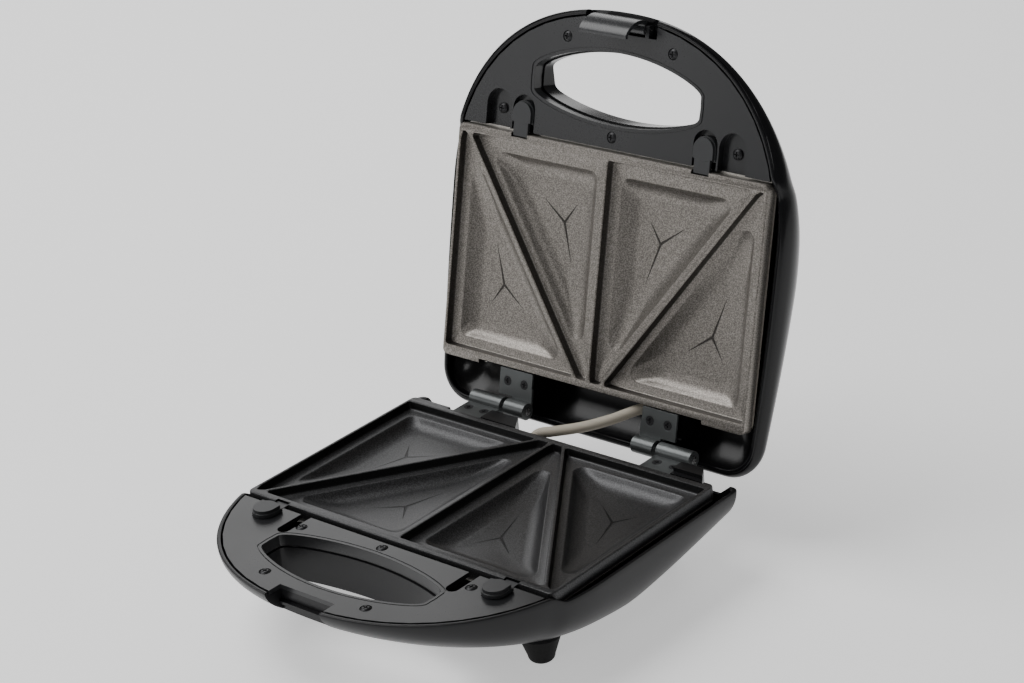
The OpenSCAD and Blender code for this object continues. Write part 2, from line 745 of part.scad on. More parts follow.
// Ring of a triangular pocket at a height, moved in by e, with corners of radius r
function tri_ring(v, e, r, z) =
  let (a = norm(v[1] - v[2]), b = norm(v[2] - v[0]), c = norm(v[0] - v[1]),
    centre = (a * v[0] + b * v[1] + c * v[2]) / (a + b + c),
    area = abs((v[1] - v[0])[0] * (v[2] - v[0])[1] - (v[1] - v[0])[1] * (v[2] - v[0])[0]) / 2,
    inner_r = 2 * area / (a + b + c), k = 1 - (e + r) / inner_r)
  [for (i = [0:2]) let (p = v[i], prev = p - v[(i + 2) % 3], next = v[(i + 1) % 3] - p,
      a0 = atan2(prev[1], prev[0]) - 90, turn = (atan2(next[1], next[0]) - 90 - a0 + 720) % 360)
    for (j = [0:5]) let (q = centre + (p - centre) * k, w = a0 + turn * j / 5)
      [q[0] + r * cos(w), q[1] + r * sin(w), z]];
// Rings of a bowl from its bottom up, grown outward and down by t
function bowl_rings(v, t, top) = concat(
  [for (k = [4:-1:0]) let (a = 90 * k / 4)
    tri_ring(v, 9 * (1 - cos(a)) + 1.5 * sin(a) - t, pocket_r + t + 3 * sin(a),
      -land_drop - t - bowl_depth * sin(a))],
  [tri_ring(v, -t, pocket_r + t, top)]);

module plate() {
  difference() {
    union() {
      slab(0, plate_edge_h) rounded_rect(plate_w / 2, front_y, back_y, plate_corner_r);
      both_sides() for (v = [front_pocket, back_pocket]) loft(bowl_rings(v, cast_t, -land_drop - 0.5));
    }
    difference() {
      slab(-cut, land_drop) rounded_rect(plate_w / 2 - side_rim, front_y + front_rim, back_y - back_rim,
        plate_corner_r - side_rim);
      box([-rib_w / 2, rib_w / 2], [front_y, back_y], -cut, plate_edge_h);
      both_sides() translate([rib_front[0], rib_front[1], -plate_edge_h])
        rotate([0, 0, atan2(rib_dir[1], rib_dir[0])])
        translate([-15, -rib_w / 2, 0]) cube([norm(rib_back - rib_front) + 15 + rib_w, rib_w,
          plate_edge_h + cut]);
    }
    both_sides() for (v = [front_pocket, back_pocket]) loft(bowl_rings(v, 0, cut));
    children();
  }
}
// Notch in a plate's front edge under a clip's nose
module clip_notch(x, w) {
  box([x - w / 2 - 2 * slide, x + w / 2 + 2 * slide], [front_y - cut, front_y + notch_back], -cut,
    notch_floor);
}
module lower_plate() {
  color([0.16, 0.16, 0.16]) in_base() plate() {
    both_sides() clip_notch(base_clip_x, base_clip_w);
    back_recess(recess_right);
  }
}
module upper_plate() {
  color([0.45, 0.43, 0.40]) in_lid() plate() {
    both_sides() clip_notch(lid_clip_x, lid_clip_w);
    back_recess(recess_half);
  }
}

// Rubber feet
module foot(p, seat, top_d, foot_d, edge) {
  h = rim_z - seat;
  translate([p[0], p[1], 0]) rotate_extrude() polygon(concat([[0, 0]],
    [for (k = [0:6]) [foot_d / 2 - edge + edge * sin(15 * k), edge - edge * cos(15 * k)]],
    [[top_d / 2, h], [0, h]]));
}
module front_feet() {
  color([0.08, 0.08, 0.08]) both_sides() foot(front_foot, front_seat, foot_top_d, foot_d, foot_edge);
}
module rear_feet() {
  color([0.08, 0.08, 0.08]) both_sides() foot(back_foot, back_seat, back_foot_top_d, back_foot_d,
    back_foot_edge);
}

module base_panel_screws() {
  color([0.2, 0.2, 0.2]) in_base() for (p = base_panel_holes)
    screw(p, base_panel_drop + panel_sink, panel_screw_len);
}
module base_tray_screws() {
  color([0.6, 0.6, 0.6]) in_base() for (p = tray_holes) screw(p, tray_floor - tray_t, tray_screw_len);
}
module lid_tray_screws() {
  color([0.6, 0.6, 0.6]) in_lid() for (p = tray_holes) screw(p, tray_floor - tray_t, tray_screw_len);
}
module lid_panel_screws() {
  color([0.2, 0.2, 0.2]) in_lid() {
    for (p = lid_panel_holes) screw(p, lid_panel_drop + panel_sink, panel_screw_len);
    for (p = lid_pocket_holes) screw(p, lid_panel_drop + pocket_depth, panel_screw_len);
  }
}

// Rolled hinge leaf: a flat with a knuckle, drawn on the right side
module hinge_leaf(flat_x, knuckle_x, top, screws) {
  difference() {
    union() {
      box(flat_x, [leaf_front_y, hinge_y - knuckle_d / 2 + 1], top, top + leaf_t);
      box(knuckle_x, [knuckle_front_y, hinge_y], top, top + leaf_t);
      along_hinge(knuckle_x, knuckle_d);
    }
    along_hinge([knuckle_x[0] - cut, knuckle_x[1] + cut], hinge_pin_d + 2 * pin_play);
    for (p = screws) sunk_hole(p, top);
  }
}
module along_hinge(x, d) {
  translate([x[0], hinge_y, seam_to_pin]) rotate([0, 90, 0]) cylinder(d = d, h = x[1] - x[0]);
}
seam_to_pin = -hinge_drop;
// The lid's seam lies a little above the base's, so its pin lies deeper behind it
module lid_leaf() {
  difference() {
    union() {
      box(lid_leaf_x, [leaf_front_y, hinge_y - knuckle_d / 2 - 0.6], lid_leaf_top, lid_leaf_top + leaf_t);
      box(lid_knuckle_x, [knuckle_front_y, hinge_y], lid_leaf_top, lid_leaf_top + leaf_t);
      lid_pin_line(lid_knuckle_x, knuckle_d);
    }
    lid_pin_line([lid_knuckle_x[0] - cut, lid_knuckle_x[1] + cut], hinge_pin_d + 2 * pin_play);
    for (p = leaf_screws(lid_leaf_screw_x, lid_leaf_screw_back)) sunk_hole(p, lid_leaf_top);
  }
}
module lid_pin_line(x, d) {
  translate([x[0], hinge_y, hinge_drop + seal_gap]) rotate([0, 90, 0]) cylinder(d = d, h = x[1] - x[0]);
}
module base_leaf() {
  hinge_leaf(base_knuckle_x, base_knuckle_x, base_leaf_top,
    leaf_screws(base_leaf_screw_x, base_leaf_screw_back));
}
module base_hinge_leaf_right() {
  color([0.35, 0.37, 0.40]) in_base() base_leaf();
}
module base_hinge_leaf_left() {
  color([0.35, 0.37, 0.40]) in_base() mirror([1, 0, 0]) base_leaf();
}
module lid_hinge_leaf_right() {
  color([0.35, 0.37, 0.40]) in_lid() lid_leaf();
}
module lid_hinge_leaf_left() {
  color([0.35, 0.37, 0.40]) in_lid() mirror([1, 0, 0]) lid_leaf();
}
module base_leaf_screws() {
  color([0.25, 0.25, 0.26]) in_base() both_sides()
    for (p = leaf_screws(base_leaf_screw_x, base_leaf_screw_back)) sunk_screw(p, base_leaf_top);
}
module lid_leaf_screws() {
  color([0.25, 0.25, 0.26]) in_lid() both_sides()
    for (p = leaf_screws(lid_leaf_screw_x, lid_leaf_screw_back)) sunk_screw(p, lid_leaf_top);
}
module hinge_pin() {
  in_base() along_hinge([lid_knuckle_x[0] - 0.5, base_knuckle_x[1] + 0.5], hinge_pin_d);
}
module hinge_pin_right() {
  color([0.7, 0.7, 0.7]) hinge_pin();
}
module hinge_pin_left() {
  color([0.7, 0.7, 0.7]) mirror([1, 0, 0]) hinge_pin();
}

module mains_gland() {
  color([0.06, 0.06, 0.06]) in_base() translate([gland_x, base_tail_y, -gland_depth]) rotate([90, 0, 0])
    difference() {
    union() {
      translate([0, 0, -2.5]) cylinder(d = gland_flange_d, h = 2);
      translate([0, 0, -1]) cylinder(d = gland_neck_d, h = 7);
    }
    translate([0, 0, -4]) cylinder(d = gland_bore_d, h = 12);
  }
}
module terminal_block() {
  half = 8;
  color([0.85, 0.84, 0.78]) in_base() difference() {
    box([terminal_x - half, terminal_x + half], [back_y - 8.5, back_y - 0.5],
      terminal_bottom - terminal_h, terminal_bottom);
    for (x = [-half / 2, half / 2])
      translate([terminal_x + x, back_y + cut, terminal_h / 2 - terminal_bottom])
      rotate([90, 0, 0]) cylinder(d = 3, h = 12);
    for (x = [-half / 2, half / 2])
      translate([terminal_x + x, back_y - 4.5, terminal_h * 0.75 - terminal_bottom])
      cylinder(d = 3.4, h = terminal_h / 2);
  }
}

// Leads in a sleeve that crosses the seam behind the plates
module lead_sleeve() {
  color([0.72, 0.66, 0.54]) tube([for (p = sleeve_route) [p[0], back_y + p[1], rim_z + p[2]]], sleeve_d, 8);
}

// Compression spring lying front to back, between a clip and its guide's end wall
module spring(x, under) {
  steps = 10;
  r = (spring_d - spring_wire) / 2;
  y0 = front_y + slider_front - spring_len + spring_wire / 2 + fit / 2;
  run = spring_len - spring_wire - fit;
  z = -(under + slide + slider_h / 2);
  tube([for (k = [0:spring_turns * steps]) let (a = 360 * k / steps)
    [x + r * cos(a), y0 + run * k / (spring_turns * steps), z + r * sin(a)]], spring_wire, 6);
}
module base_clip_springs() {
  color([0.7, 0.7, 0.72]) in_base() both_sides() spring(base_clip_x, base_under);
}
module lid_clip_springs() {
  color([0.7, 0.7, 0.72]) in_lid() both_sides() spring(lid_clip_x, lid_clip_deck + tub_t);
}

// Sprung clip that holds a plate's front edge: thumb piece with a flat back, neck, nose and slider
module clip(x, y, w, r, deck, under, step, top) {
  cy = front_y + y;
  thumb(x, cy, r, deck - lift, -step);
  thumb(x, cy, r - thumb_step, lift - step, -top);
  box([x - w / 2, x + w / 2], [cy, front_y + clip_nose], clip_nose_top, clip_nose_bottom);
  box([x - w / 2, x + w / 2], [front_y + slider_front + slide, front_y - 6],
    min(clip_nose_top, 0.5 - step), under + slide + 1);
  box([x - w / 2, x + w / 2], [front_y + slider_front, front_y + slider_back], under + slide,
    under + slide + slider_h);
}
module thumb(x, y, r, bottom, top) {
  slab(top, bottom) {
    translate([x, y]) circle(r = r);
    translate([x - r, y]) square([2 * r, r - thumb_short]);
  }
}
module base_clip() {
  clip(base_clip_x, base_clip_y, base_clip_w, base_clip_r, base_panel_drop, base_under, base_clip_step,
    base_clip_top);
}
module base_clip_right() {
  color([0.42, 0.43, 0.44]) in_base() base_clip();
}
module base_clip_left() {
  color([0.42, 0.43, 0.44]) in_base() mirror([1, 0, 0]) base_clip();
}
module lid_clip() {
  clip(lid_clip_x, lid_clip_y, lid_clip_w, lid_clip_r, lid_clip_deck, lid_clip_deck + tub_t,
    lid_clip_step, lid_clip_top);
}
module lid_clip_right() {
  color([0.30, 0.31, 0.32]) in_lid() lid_clip();
}
module lid_clip_left() {
  color([0.30, 0.31, 0.32]) in_lid() mirror([1, 0, 0]) lid_clip();
}

module lid_cover() {
  pad_y = [leaf_front_y + fit, hinge_y - knuckle_d / 2 - cut];
  color([0.05, 0.05, 0.06]) in_lid() difference() {
    union() {
      lid_skin();
      intersection() {
        union() {
          slab(lid_panel_drop + hole_lip_depth, lid_h) polygon(hole_points(skirt_t - 0.2));
          for (p = lid_panel_holes) pillar(p, boss_d, lid_under, lid_h);
          for (p = lid_pocket_holes) pillar(p, boss_d, lid_panel_drop + pocket_depth + tub_t, lid_h);
          for (p = tray_holes) pillar(p, boss_d + 1, tray_floor, lid_h);
          both_sides() clip_guide(lid_clip_x, lid_clip_deck + tub_t);
          both_sides() box(lid_leaf_x, pad_y, lid_leaf_top + leaf_t, lid_h);
          for (x = [-lamp_x, lamp_x]) translate([x, lamp_y, -lid_h])
            cylinder(d = lamp_boss_d, h = wall + lamp_boss_h);
        }
        loft(lid_rings(wall / 2));
      }
    }
    slab(-cut, lid_h + cut) polygon(hole_points(-hole_lip));
    box([-lid_notch_half, lid_notch_half], [tip_y - 2 * lid_bulge, latch_y + 4], -cut, latch_recess);
    slab(lid_panel_drop, lid_panel_drop + skirt_depth + fit) polygon(hole_points(skirt_t + fit));
    for (p = lid_panel_holes) pilot(p, lid_under, panel_screw_len - 1);
    for (p = lid_pocket_holes) pilot(p, lid_panel_drop + pocket_depth, panel_screw_len + 1);
    for (p = tray_holes) pilot(p, tray_floor, tray_screw_len);
    both_sides() clip_trough(lid_clip_x, lid_clip_deck + tub_t, lid_clip_w);
    both_sides() for (p = leaf_screws(lid_leaf_screw_x, lid_leaf_screw_back))
      pilot(p, lid_leaf_top, screw_len + cut);
    for (x = [-lamp_x, lamp_x]) translate([x, lamp_y, -lid_h - cut])
      cylinder(d = lens_d + fit, h = wall + lamp_boss_h + 2 * cut);
  }
}

module lid_handle_panel() {
  notch_y = latch_y + 3.8;
  color([0.25, 0.26, 0.28]) in_lid() difference() {
    union() {
      panel_blank(lid_panel_drop, lid_panel_edge_y, panel_inset) {
        both_sides() slab(lid_panel_drop, lid_panel_drop + pocket_depth + tub_t)
          u_slot(pocket_x, pocket_w + 2 * tub_t, pocket_end + tub_t);
        both_sides() slab(lid_panel_drop, lid_clip_deck + tub_t) clip_pocket(clip_pocket_r + tub_t / 2);
      }
      both_sides() box([latch_w / 2 + slide, latch_w / 2 + slide + ear_t], [latch_y - 2.6, notch_y + 2],
        lid_panel_drop, latch_h + 2.6);
    }
    slab(-cut, lid_h) polygon(hole_points(0));
    hole_groove(lid_panel_drop);
    difference() {
      box([-lid_notch_half + fit, lid_notch_half - fit], [tip_y - cut, notch_y], -cut, lid_h);
      both_sides() box([latch_w / 2 + slide, latch_w / 2 + slide + ear_t], [latch_y - 2.6, notch_y + 2],
        lid_panel_drop, latch_h + 2.6);
    }
    both_sides() slab(-cut, lid_panel_drop + pocket_depth) u_slot(pocket_x, pocket_w, pocket_end);
    both_sides() slab(-cut, lid_clip_deck) clip_pocket(clip_pocket_r);
    both_sides() box([lid_clip_x - lid_clip_w / 2 - slide, lid_clip_x + lid_clip_w / 2 + slide],
      [front_y + slider_front - clip_travel, front_y], -cut, lid_h);
    for (p = lid_panel_holes) {
      pillar(p, screw_head_d + 0.4, -cut, lid_panel_drop + panel_sink);
      pillar(p, screw_d + fit, -cut, lid_h);
    }
    for (p = lid_pocket_holes) pillar(p, screw_d + fit, -cut, lid_h);
    translate([-lid_notch_half, latch_y, -latch_h]) rotate([0, 90, 0])
      cylinder(d = latch_pin_d + fit, h = 2 * lid_notch_half);
  }
}
module clip_pocket(r) {
  translate([lid_clip_x, front_y + lid_clip_y]) circle(r = r);
  translate([lid_clip_x, front_y + lid_clip_y - clip_travel]) circle(r = r);
  translate([lid_clip_x - r, front_y + lid_clip_y - clip_travel]) square([2 * r, clip_travel - lid_clip_y]);
}

module thermostat() {
  color([0.78, 0.76, 0.70]) in_lid() {
    translate([40, mid_y, -tray_floor - 7]) cylinder(d = 15, h = 7);
    box([26, 54], [mid_y - 3, mid_y + 3], tray_floor, tray_floor + 1);
    for (x = [36, 44]) box([x - 1.5, x + 1.5], [mid_y - 0.4, mid_y + 0.4], tray_floor + 6, tray_floor + 11);
  }
}
module thermal_fuse() {
  color([0.75, 0.75, 0.72]) in_lid() translate([-46, mid_y, -tray_floor - 3]) rotate([0, 90, 0]) {
    cylinder(d = 4, h = 12);
    translate([0, 0, -8]) cylinder(d = 1, h = 28);
  }
}
module fuse_clip() {
  color([0.66, 0.66, 0.66]) in_lid() difference() {
    union() {
      translate([-44, mid_y, -tray_floor - 3]) rotate([0, 90, 0]) cylinder(d = 6, h = 8);
      box([-44, -36], [mid_y - 7, mid_y + 7], tray_floor, tray_floor + 0.8);
    }
    translate([-45, mid_y, -tray_floor - 3]) rotate([0, 90, 0]) cylinder(d = 4 + 2 * fit, h = 10);
    box([-45, -35], [mid_y - 4, mid_y + 4], tray_floor - 3, tray_floor);
  }
}

// Indicator lamps: a small neon tube in a capped lens
module lens(x) {
  in_lid() translate([x, lamp_y, 0]) difference() {
    union() {
      translate([0, 0, -lid_h - lens_stand * 0.5]) cylinder(d = lens_d, h = wall + lamp_boss_h);
      translate([0, 0, -lid_h - lens_stand]) cylinder(d1 = lens_d * 0.7, d2 = lens_d, h = lens_stand * 0.5);
    }
    translate([0, 0, -lid_h + wall]) cylinder(d = lamp_d + 2 * fit, h = lamp_boss_h + wall);
  }
}
module lamp(x) {
  in_lid() translate([x, lamp_y, -lid_h + wall + fit]) {
    cylinder(d = lamp_d, h = lamp_boss_h + 2);
    for (s = [-1, 1]) translate([s, 0, lamp_boss_h + 1]) cylinder(d = 0.6, h = 4);
  }
}
module power_lens() {
  color([0.75, 0.08, 0.06]) lens(-lamp_x);
}
module ready_lens() {
  color([0.10, 0.60, 0.15]) lens(lamp_x);
}
module power_lamp() {
  color([0.9, 0.6, 0.4]) lamp(-lamp_x);
}
module ready_lamp() {
  color([0.9, 0.8, 0.4]) lamp(lamp_x);
}

// Latch: a curved hook plate on a pin inside the lid's front edge
hook_points = [[-67.5, 6.2], [-69.6, 5.4], [-71, 3], [-71.6, 0], [-71.2, -3.4], [-70, -6.8], [-68, -10],
  [-65.6, -12.3],
  [-63.6, -13.2], [-61.9, -13.2], [-61.9, -11.5], [-63.4, -11.4], [-65, -10.3], [-66.9, -8.2], [-68.4, -5.6],
  [-69.3, -2.6], [-69.6, 0.2], [-68.9, 1.8], [-67.2, 2.2]];
module latch_hook() {
  color([0.16, 0.17, 0.19]) in_lid() difference() {
    union() {
      translate([-latch_w / 2, front_y, 0]) rotate([90, 0, 90]) linear_extrude(latch_w)
        polygon([for (p = hook_points) [p[0], -p[1]]]);
      translate([-latch_w / 2, latch_y, -latch_h]) rotate([0, 90, 0])
        cylinder(d = latch_barrel_d, h = latch_w);
    }
    translate([-latch_w, latch_y, -latch_h]) rotate([0, 90, 0])
      cylinder(d = latch_pin_d + 2 * pin_play, h = 2 * latch_w);
    box([-latch_gap_half, latch_gap_half], [latch_y - 2.8, latch_y + 4], 1, lid_h);
  }
}
module latch_pin() {
  half = latch_w / 2 + slide + ear_t - fit;
  color([0.7, 0.7, 0.7]) in_lid() translate([-half, latch_y, -latch_h]) rotate([0, 90, 0])
    cylinder(d = latch_pin_d, h = 2 * half);
}
module latch_spring() {
  half = latch_gap_half - slide;
  color([0.7, 0.7, 0.72]) in_lid() difference() {
    union() {
      translate([-half, latch_y, -latch_h]) rotate([0, 90, 0]) cylinder(d = latch_pin_d + 1.8, h = 2 * half);
      box([-half, -half + 1], [latch_y, latch_y + 3.7], latch_h + 1.1, latch_h + 2);
    }
    translate([-latch_w, latch_y, -latch_h]) rotate([0, 90, 0])
      cylinder(d = latch_pin_d + 2 * pin_play, h = 2 * latch_w);
  }
}

base_shell();
base_handle_panel();
base_heat_tray();
lower_heating_element();
base_element_saddles();
lower_plate();
front_feet();
rear_feet();
base_panel_screws();
base_tray_screws();
base_hinge_leaf_left();
base_hinge_leaf_right();
base_leaf_screws();
hinge_pin_left();
hinge_pin_right();
mains_gland();
terminal_block();
base_clip_springs();
lead_sleeve();
base_clip_left();
base_clip_right();
lid_cover();
lid_handle_panel();
lid_heat_tray();
upper_heating_element();
lid_element_saddles();
upper_plate();
lid_panel_screws();
lid_tray_screws();
lid_hinge_leaf_left();
lid_hinge_leaf_right();
lid_leaf_screws();
thermostat();
thermal_fuse();
fuse_clip();
power_lamp();
ready_lamp();
power_lens();
ready_lens();
latch_pin();
latch_spring();
lid_clip_springs();
lid_clip_left();
lid_clip_right();
latch_hook();
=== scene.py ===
import math

import bmesh
import bpy
import numpy as np
from mathutils import Matrix, Vector
from mathutils.geometry import tessellate_polygon


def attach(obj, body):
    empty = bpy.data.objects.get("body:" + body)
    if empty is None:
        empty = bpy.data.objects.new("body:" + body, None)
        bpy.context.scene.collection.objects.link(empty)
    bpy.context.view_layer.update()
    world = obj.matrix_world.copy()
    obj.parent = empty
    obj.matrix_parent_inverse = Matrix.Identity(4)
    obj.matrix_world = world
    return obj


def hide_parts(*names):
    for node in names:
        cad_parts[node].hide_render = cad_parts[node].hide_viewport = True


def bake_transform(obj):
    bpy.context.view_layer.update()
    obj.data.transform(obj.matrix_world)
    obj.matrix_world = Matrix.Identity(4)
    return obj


bl_info = {
    "name": "Sandwich toaster",
    "version": (1, 0, 0),
    "blender": (4, 5, 0),
    "location": "View3D > Sidebar > Toaster",
    "description": "Dresses a sandwich toaster's parts with their shapes and finishes",
    "category": "Object",
}

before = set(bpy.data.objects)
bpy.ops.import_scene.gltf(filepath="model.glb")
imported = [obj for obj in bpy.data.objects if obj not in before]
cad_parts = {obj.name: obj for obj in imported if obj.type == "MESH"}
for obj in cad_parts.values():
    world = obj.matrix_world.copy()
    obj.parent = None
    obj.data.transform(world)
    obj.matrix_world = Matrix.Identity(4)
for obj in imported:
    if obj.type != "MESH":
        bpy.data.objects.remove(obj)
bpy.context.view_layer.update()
MM = 0.001

# Places that the casings and the plates share with the frame, in millimetres.
# The plates' front edge is at FRONT and their back edge at BACK. Depths count from the seam into a half.
PLATE_W, PLATE_D = 208.0, 131.0
MIDDLE = -8.5
FRONT = MIDDLE - PLATE_D / 2
BACK = MIDDLE + PLATE_D / 2
RIM_Z = 51.0
SEAL_GAP = 0.5
HINGE_Y, HINGE_Z = BACK + 19.0, RIM_Z - 1.7
OPEN_DEG = 104.65
HALF_W = PLATE_W / 2 + 6.3
# The handle reaches out in front of the plates and widens until SHOULDER behind their front edge
REACH = 73.0
SHOULDER = 35.0
TIP = FRONT - REACH
WALL = 2.2
# Both halves are deepest between handle and hinge, and lose depth toward the tip and the tail
BASE_H, BASE_TIP_LOSS, BASE_TAIL_LOSS = 40.0, 27.0, 15.0
LID_H, LID_TIP_LOSS, LID_TAIL_LOSS = 39.0, 28.0, 17.0
BELLY_Y, CROWN_Y = FRONT + 62, FRONT + 52
BASE_TAIL, LID_TAIL = BACK + 12.0, BACK + 26.7
# Rims round the handle, and lower ones beside the plates from the step on
BASE_RIM, LID_RIM, SIDE_RIM = 0.8, 2.2, 6.0
STEP_Y, STEP_RUN = FRONT - 3, 11.0
BASE_TURN, LID_TURN = 20.0, 28.0
LID_BULGE = 2.7
# Handle panels and what is under them
PANEL_T = 2.4
BASE_PANEL, LID_PANEL = 0.8, 2.6
LID_DECK = 7.4
LID_POCKET = LID_PANEL + 4.5
TRAY_FLOOR = 24.2
# Release clips, latch, lamps and hinge leaves
CLIP_X = {"base": 78.3, "lid": 60.8}
CLIP_W = {"base": 8.0, "lid": 10.0}
LATCH_Y = FRONT - 66
LEDGE_Y, LEDGE_HALF_W = FRONT - 61, 18.5
LAMP_X, LAMP_Y = 12.0, FRONT + 42
LENS_D, LENS_BOSS_D = 8.1, 11.5
LEAF_FRONT = BACK - 1.4
GLAND_X, GLAND_Z, GLAND_R = -32.0, -18.5, 4.55


def smooth(s):
    """A soft step from 0 to 1."""
    t = np.clip(s, 0, 1)
    return t * t * (3 - 2 * t)


def base_place():
    """From the base's own frame in millimetres to the row frame."""
    return Matrix.Translation((0, 0, RIM_Z * MM)) @ Matrix.Scale(MM, 4)


def lid_place():
    """From the lid's own frame, where it is shut with its rim down, to its open place in the row frame."""
    swing = (Matrix.Translation((0, HINGE_Y, HINGE_Z)) @ Matrix.Rotation(math.radians(-OPEN_DEG), 4, "X")
             @ Matrix.Translation((0, -HINGE_Y, -HINGE_Z)))
    flip = Matrix.Translation((0, 0, RIM_Z + SEAL_GAP)) @ Matrix.Diagonal((1, 1, -1, 1))
    return Matrix.Scale(MM, 4) @ swing @ flip


PLACES = {"base": base_place, "lid": lid_place}


# Meshes

def new_piece(name, verts, faces, half, material, body, node, angle=35, uvs=None):
    """A mesh drawn in millimetres in one half's own frame, standing for a node."""
    mesh = bpy.data.meshes.new(name)
    mesh.from_pydata([tuple(v) for v in verts], [], faces)
    if uvs is not None:
        give_coordinates(mesh, "crease", uvs)
    mesh.transform(PLACES[half]())
    return finish_piece(name, mesh, material, body, node, angle)


def give_coordinates(mesh, name, uvs):
    """Texture coordinates from one pair for each vertex."""
    layer = mesh.uv_layers.new(name=name)
    index = np.empty(len(mesh.loops), np.int32)
    mesh.loops.foreach_get("vertex_index", index)
    layer.data.foreach_set("uv", np.asarray(uvs, np.float32)[index].ravel())


def finish_piece(name, mesh, material, body, node, angle):
    """An object from a mesh in the frame's place, on a body unless body is None, standing for a node."""
    face_outward(mesh)
    piece = add_object(name, mesh)
    smooth_shade(mesh, angle)
    mesh.materials.clear()
    mesh.materials.append(material)
    if body:
        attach(piece, body)
    stand_for(node)
    return piece


def face_outward(mesh):
    """Turns the faces of a closed mesh outward."""
    work = bmesh.new()
    work.from_mesh(mesh)
    bmesh.ops.recalc_face_normals(work, faces=work.faces)
    work.to_mesh(mesh)
    work.free()


def add_object(name, data):
    """A new object in the scene."""
    made = bpy.data.objects.new(name, data)
    bpy.context.collection.objects.link(made)
    return made


def stand_for(node):
    """Shows a piece in place of a node by hiding the node."""
    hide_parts(node)


def smooth_shade(mesh, angle):
    """Smooth shading, with edges sharper than the angle left hard."""
    mesh.shade_smooth()
    mesh.set_sharp_from_angle(angle=math.radians(angle))


def apply_modifiers(piece):
    """Gives a piece the mesh that its modifiers make, and takes them off."""
    graph = bpy.context.evaluated_depsgraph_get()
    graph.update()
    made = bpy.data.meshes.new_from_object(piece.evaluated_get(graph))
    piece.modifiers.clear()
    piece.data = made


def combine(piece, other, operation="DIFFERENCE", overlaps=False, solver="EXACT"):
    """Cuts a closed mesh out of a piece, joins it or keeps what they share, and drops the other one."""
    change = piece.modifiers.new("combine", "BOOLEAN")
    change.operation = operation
    change.solver = solver
    if overlaps:
        change.use_self = True
    change.object = other
    bpy.context.view_layer.update()
    apply_modifiers(piece)
    old = other.data
    bpy.data.objects.remove(other)
    bpy.data.meshes.remove(old)
    return piece


def loose(name, verts, faces, half):
    """A closed mesh in one half's own frame that is only used to combine with others."""
    mesh = bpy.data.meshes.new(name)
    mesh.from_pydata([tuple(v) for v in verts], [], faces)
    mesh.transform(PLACES[half]())
    face_outward(mesh)
    return add_object(name, mesh)


def prisms(half, blocks):
    """Closed blocks with flat outlines, each (outline, top, bottom) in depths below the seam.
    A fourth value shrinks the outline toward its middle at the top."""
    verts, faces = [], []
    for outline_points, top, bottom, *taper in blocks:
        n, start = len(outline_points), len(verts)
        low = np.asarray(outline_points, float)
        high = low.mean(0) + (low - low.mean(0)) * (taper[0] if taper else 1)
        verts += [(x, y, -bottom) for x, y in low] + [(x, y, -top) for x, y in high]
        faces += [list(range(start, start + n))[::-1], list(range(start + n, start + 2 * n))]
        faces += [[start + i, start + (i + 1) % n, start + n + (i + 1) % n, start + n + i]
                  for i in range(n)]
    return loose("blocks", verts, faces, half)


def bar(half, centre, radius, y0, y1, sides=40):
    """A closed round bar that lies front to back."""
    turns = [2 * math.pi * k / sides for k in range(sides)]
    ring = [(centre[0] + radius * math.cos(a), centre[1] + radius * math.sin(a)) for a in turns]
    verts = [(x, y, z) for y in (y0, y1) for x, z in ring]
    faces = [list(range(sides)), list(range(sides, 2 * sides))]
    faces += [[i, (i + 1) % sides, sides + (i + 1) % sides, sides + i] for i in range(sides)]
    return loose("bar", verts, faces, half)


def disc(x, y, diameter, sides=40):
    """A round outline."""
    a = np.radians(np.arange(sides) * 360 / sides)
    return np.column_stack([x + diameter / 2 * np.cos(a), y + diameter / 2 * np.sin(a)])


def both(blocks):
    """The blocks and their mirror images on the left side."""
    return blocks + [(np.asarray(b[0]) * [-1, 1], *b[1:]) for b in blocks]


def box_points(x0, x1, y0, y1):
    """A rectangular outline."""
    return [(x0, y0), (x1, y0), (x1, y1), (x0, y1)]


def rounded_copy(node, material, body, radius, segments=2):
    """A node's own shape with its edges broken, as a moulding or casting has them."""
    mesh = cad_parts[node].data.copy()
    mesh.name = node + "_dressed"
    work = bmesh.new()
    work.from_mesh(mesh)
    bmesh.ops.remove_doubles(work, verts=work.verts, dist=0.002 * MM)
    bmesh.ops.dissolve_limit(work, angle_limit=math.radians(1), verts=work.verts, edges=work.edges)
    work.to_mesh(mesh)
    work.free()
    piece = add_object(node + "_dressed", mesh)
    edge = piece.modifiers.new("edge", "BEVEL")
    edge.width = radius * MM
    edge.segments = segments
    edge.limit_method = "ANGLE"
    edge.angle_limit = math.radians(30)
    edge.use_clamp_overlap = True
    weights = piece.modifiers.new("weights", "WEIGHTED_NORMAL")
    weights.mode = "FACE_AREA"
    weights.weight = 100
    mesh.shade_smooth()
    apply_modifiers(piece)
    mesh = piece.data
    mesh.materials.clear()
    mesh.materials.append(material)
    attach(piece, body)
    stand_for(node)
    return piece


def dress(node, finish):
    """Gives a node of the frame its finish, and leaves its shape as it is."""
    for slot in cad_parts[node].material_slots:
        slot.material = FINISHES[finish]


# Casing

FRONT_STEPS, SIDE_STEPS, CORNER_STEPS = 60, 16, 12
# Above 2, the handle's arc is fuller than an ellipse
FRONT_POWER = 2.25
HOLE_HALF_W = 55.5
HOLE_BACK, HOLE_BACK_R = FRONT - 13.6, 168.0
HOLE_FRONT, HOLE_FRONT_R = FRONT - 52, 128.0


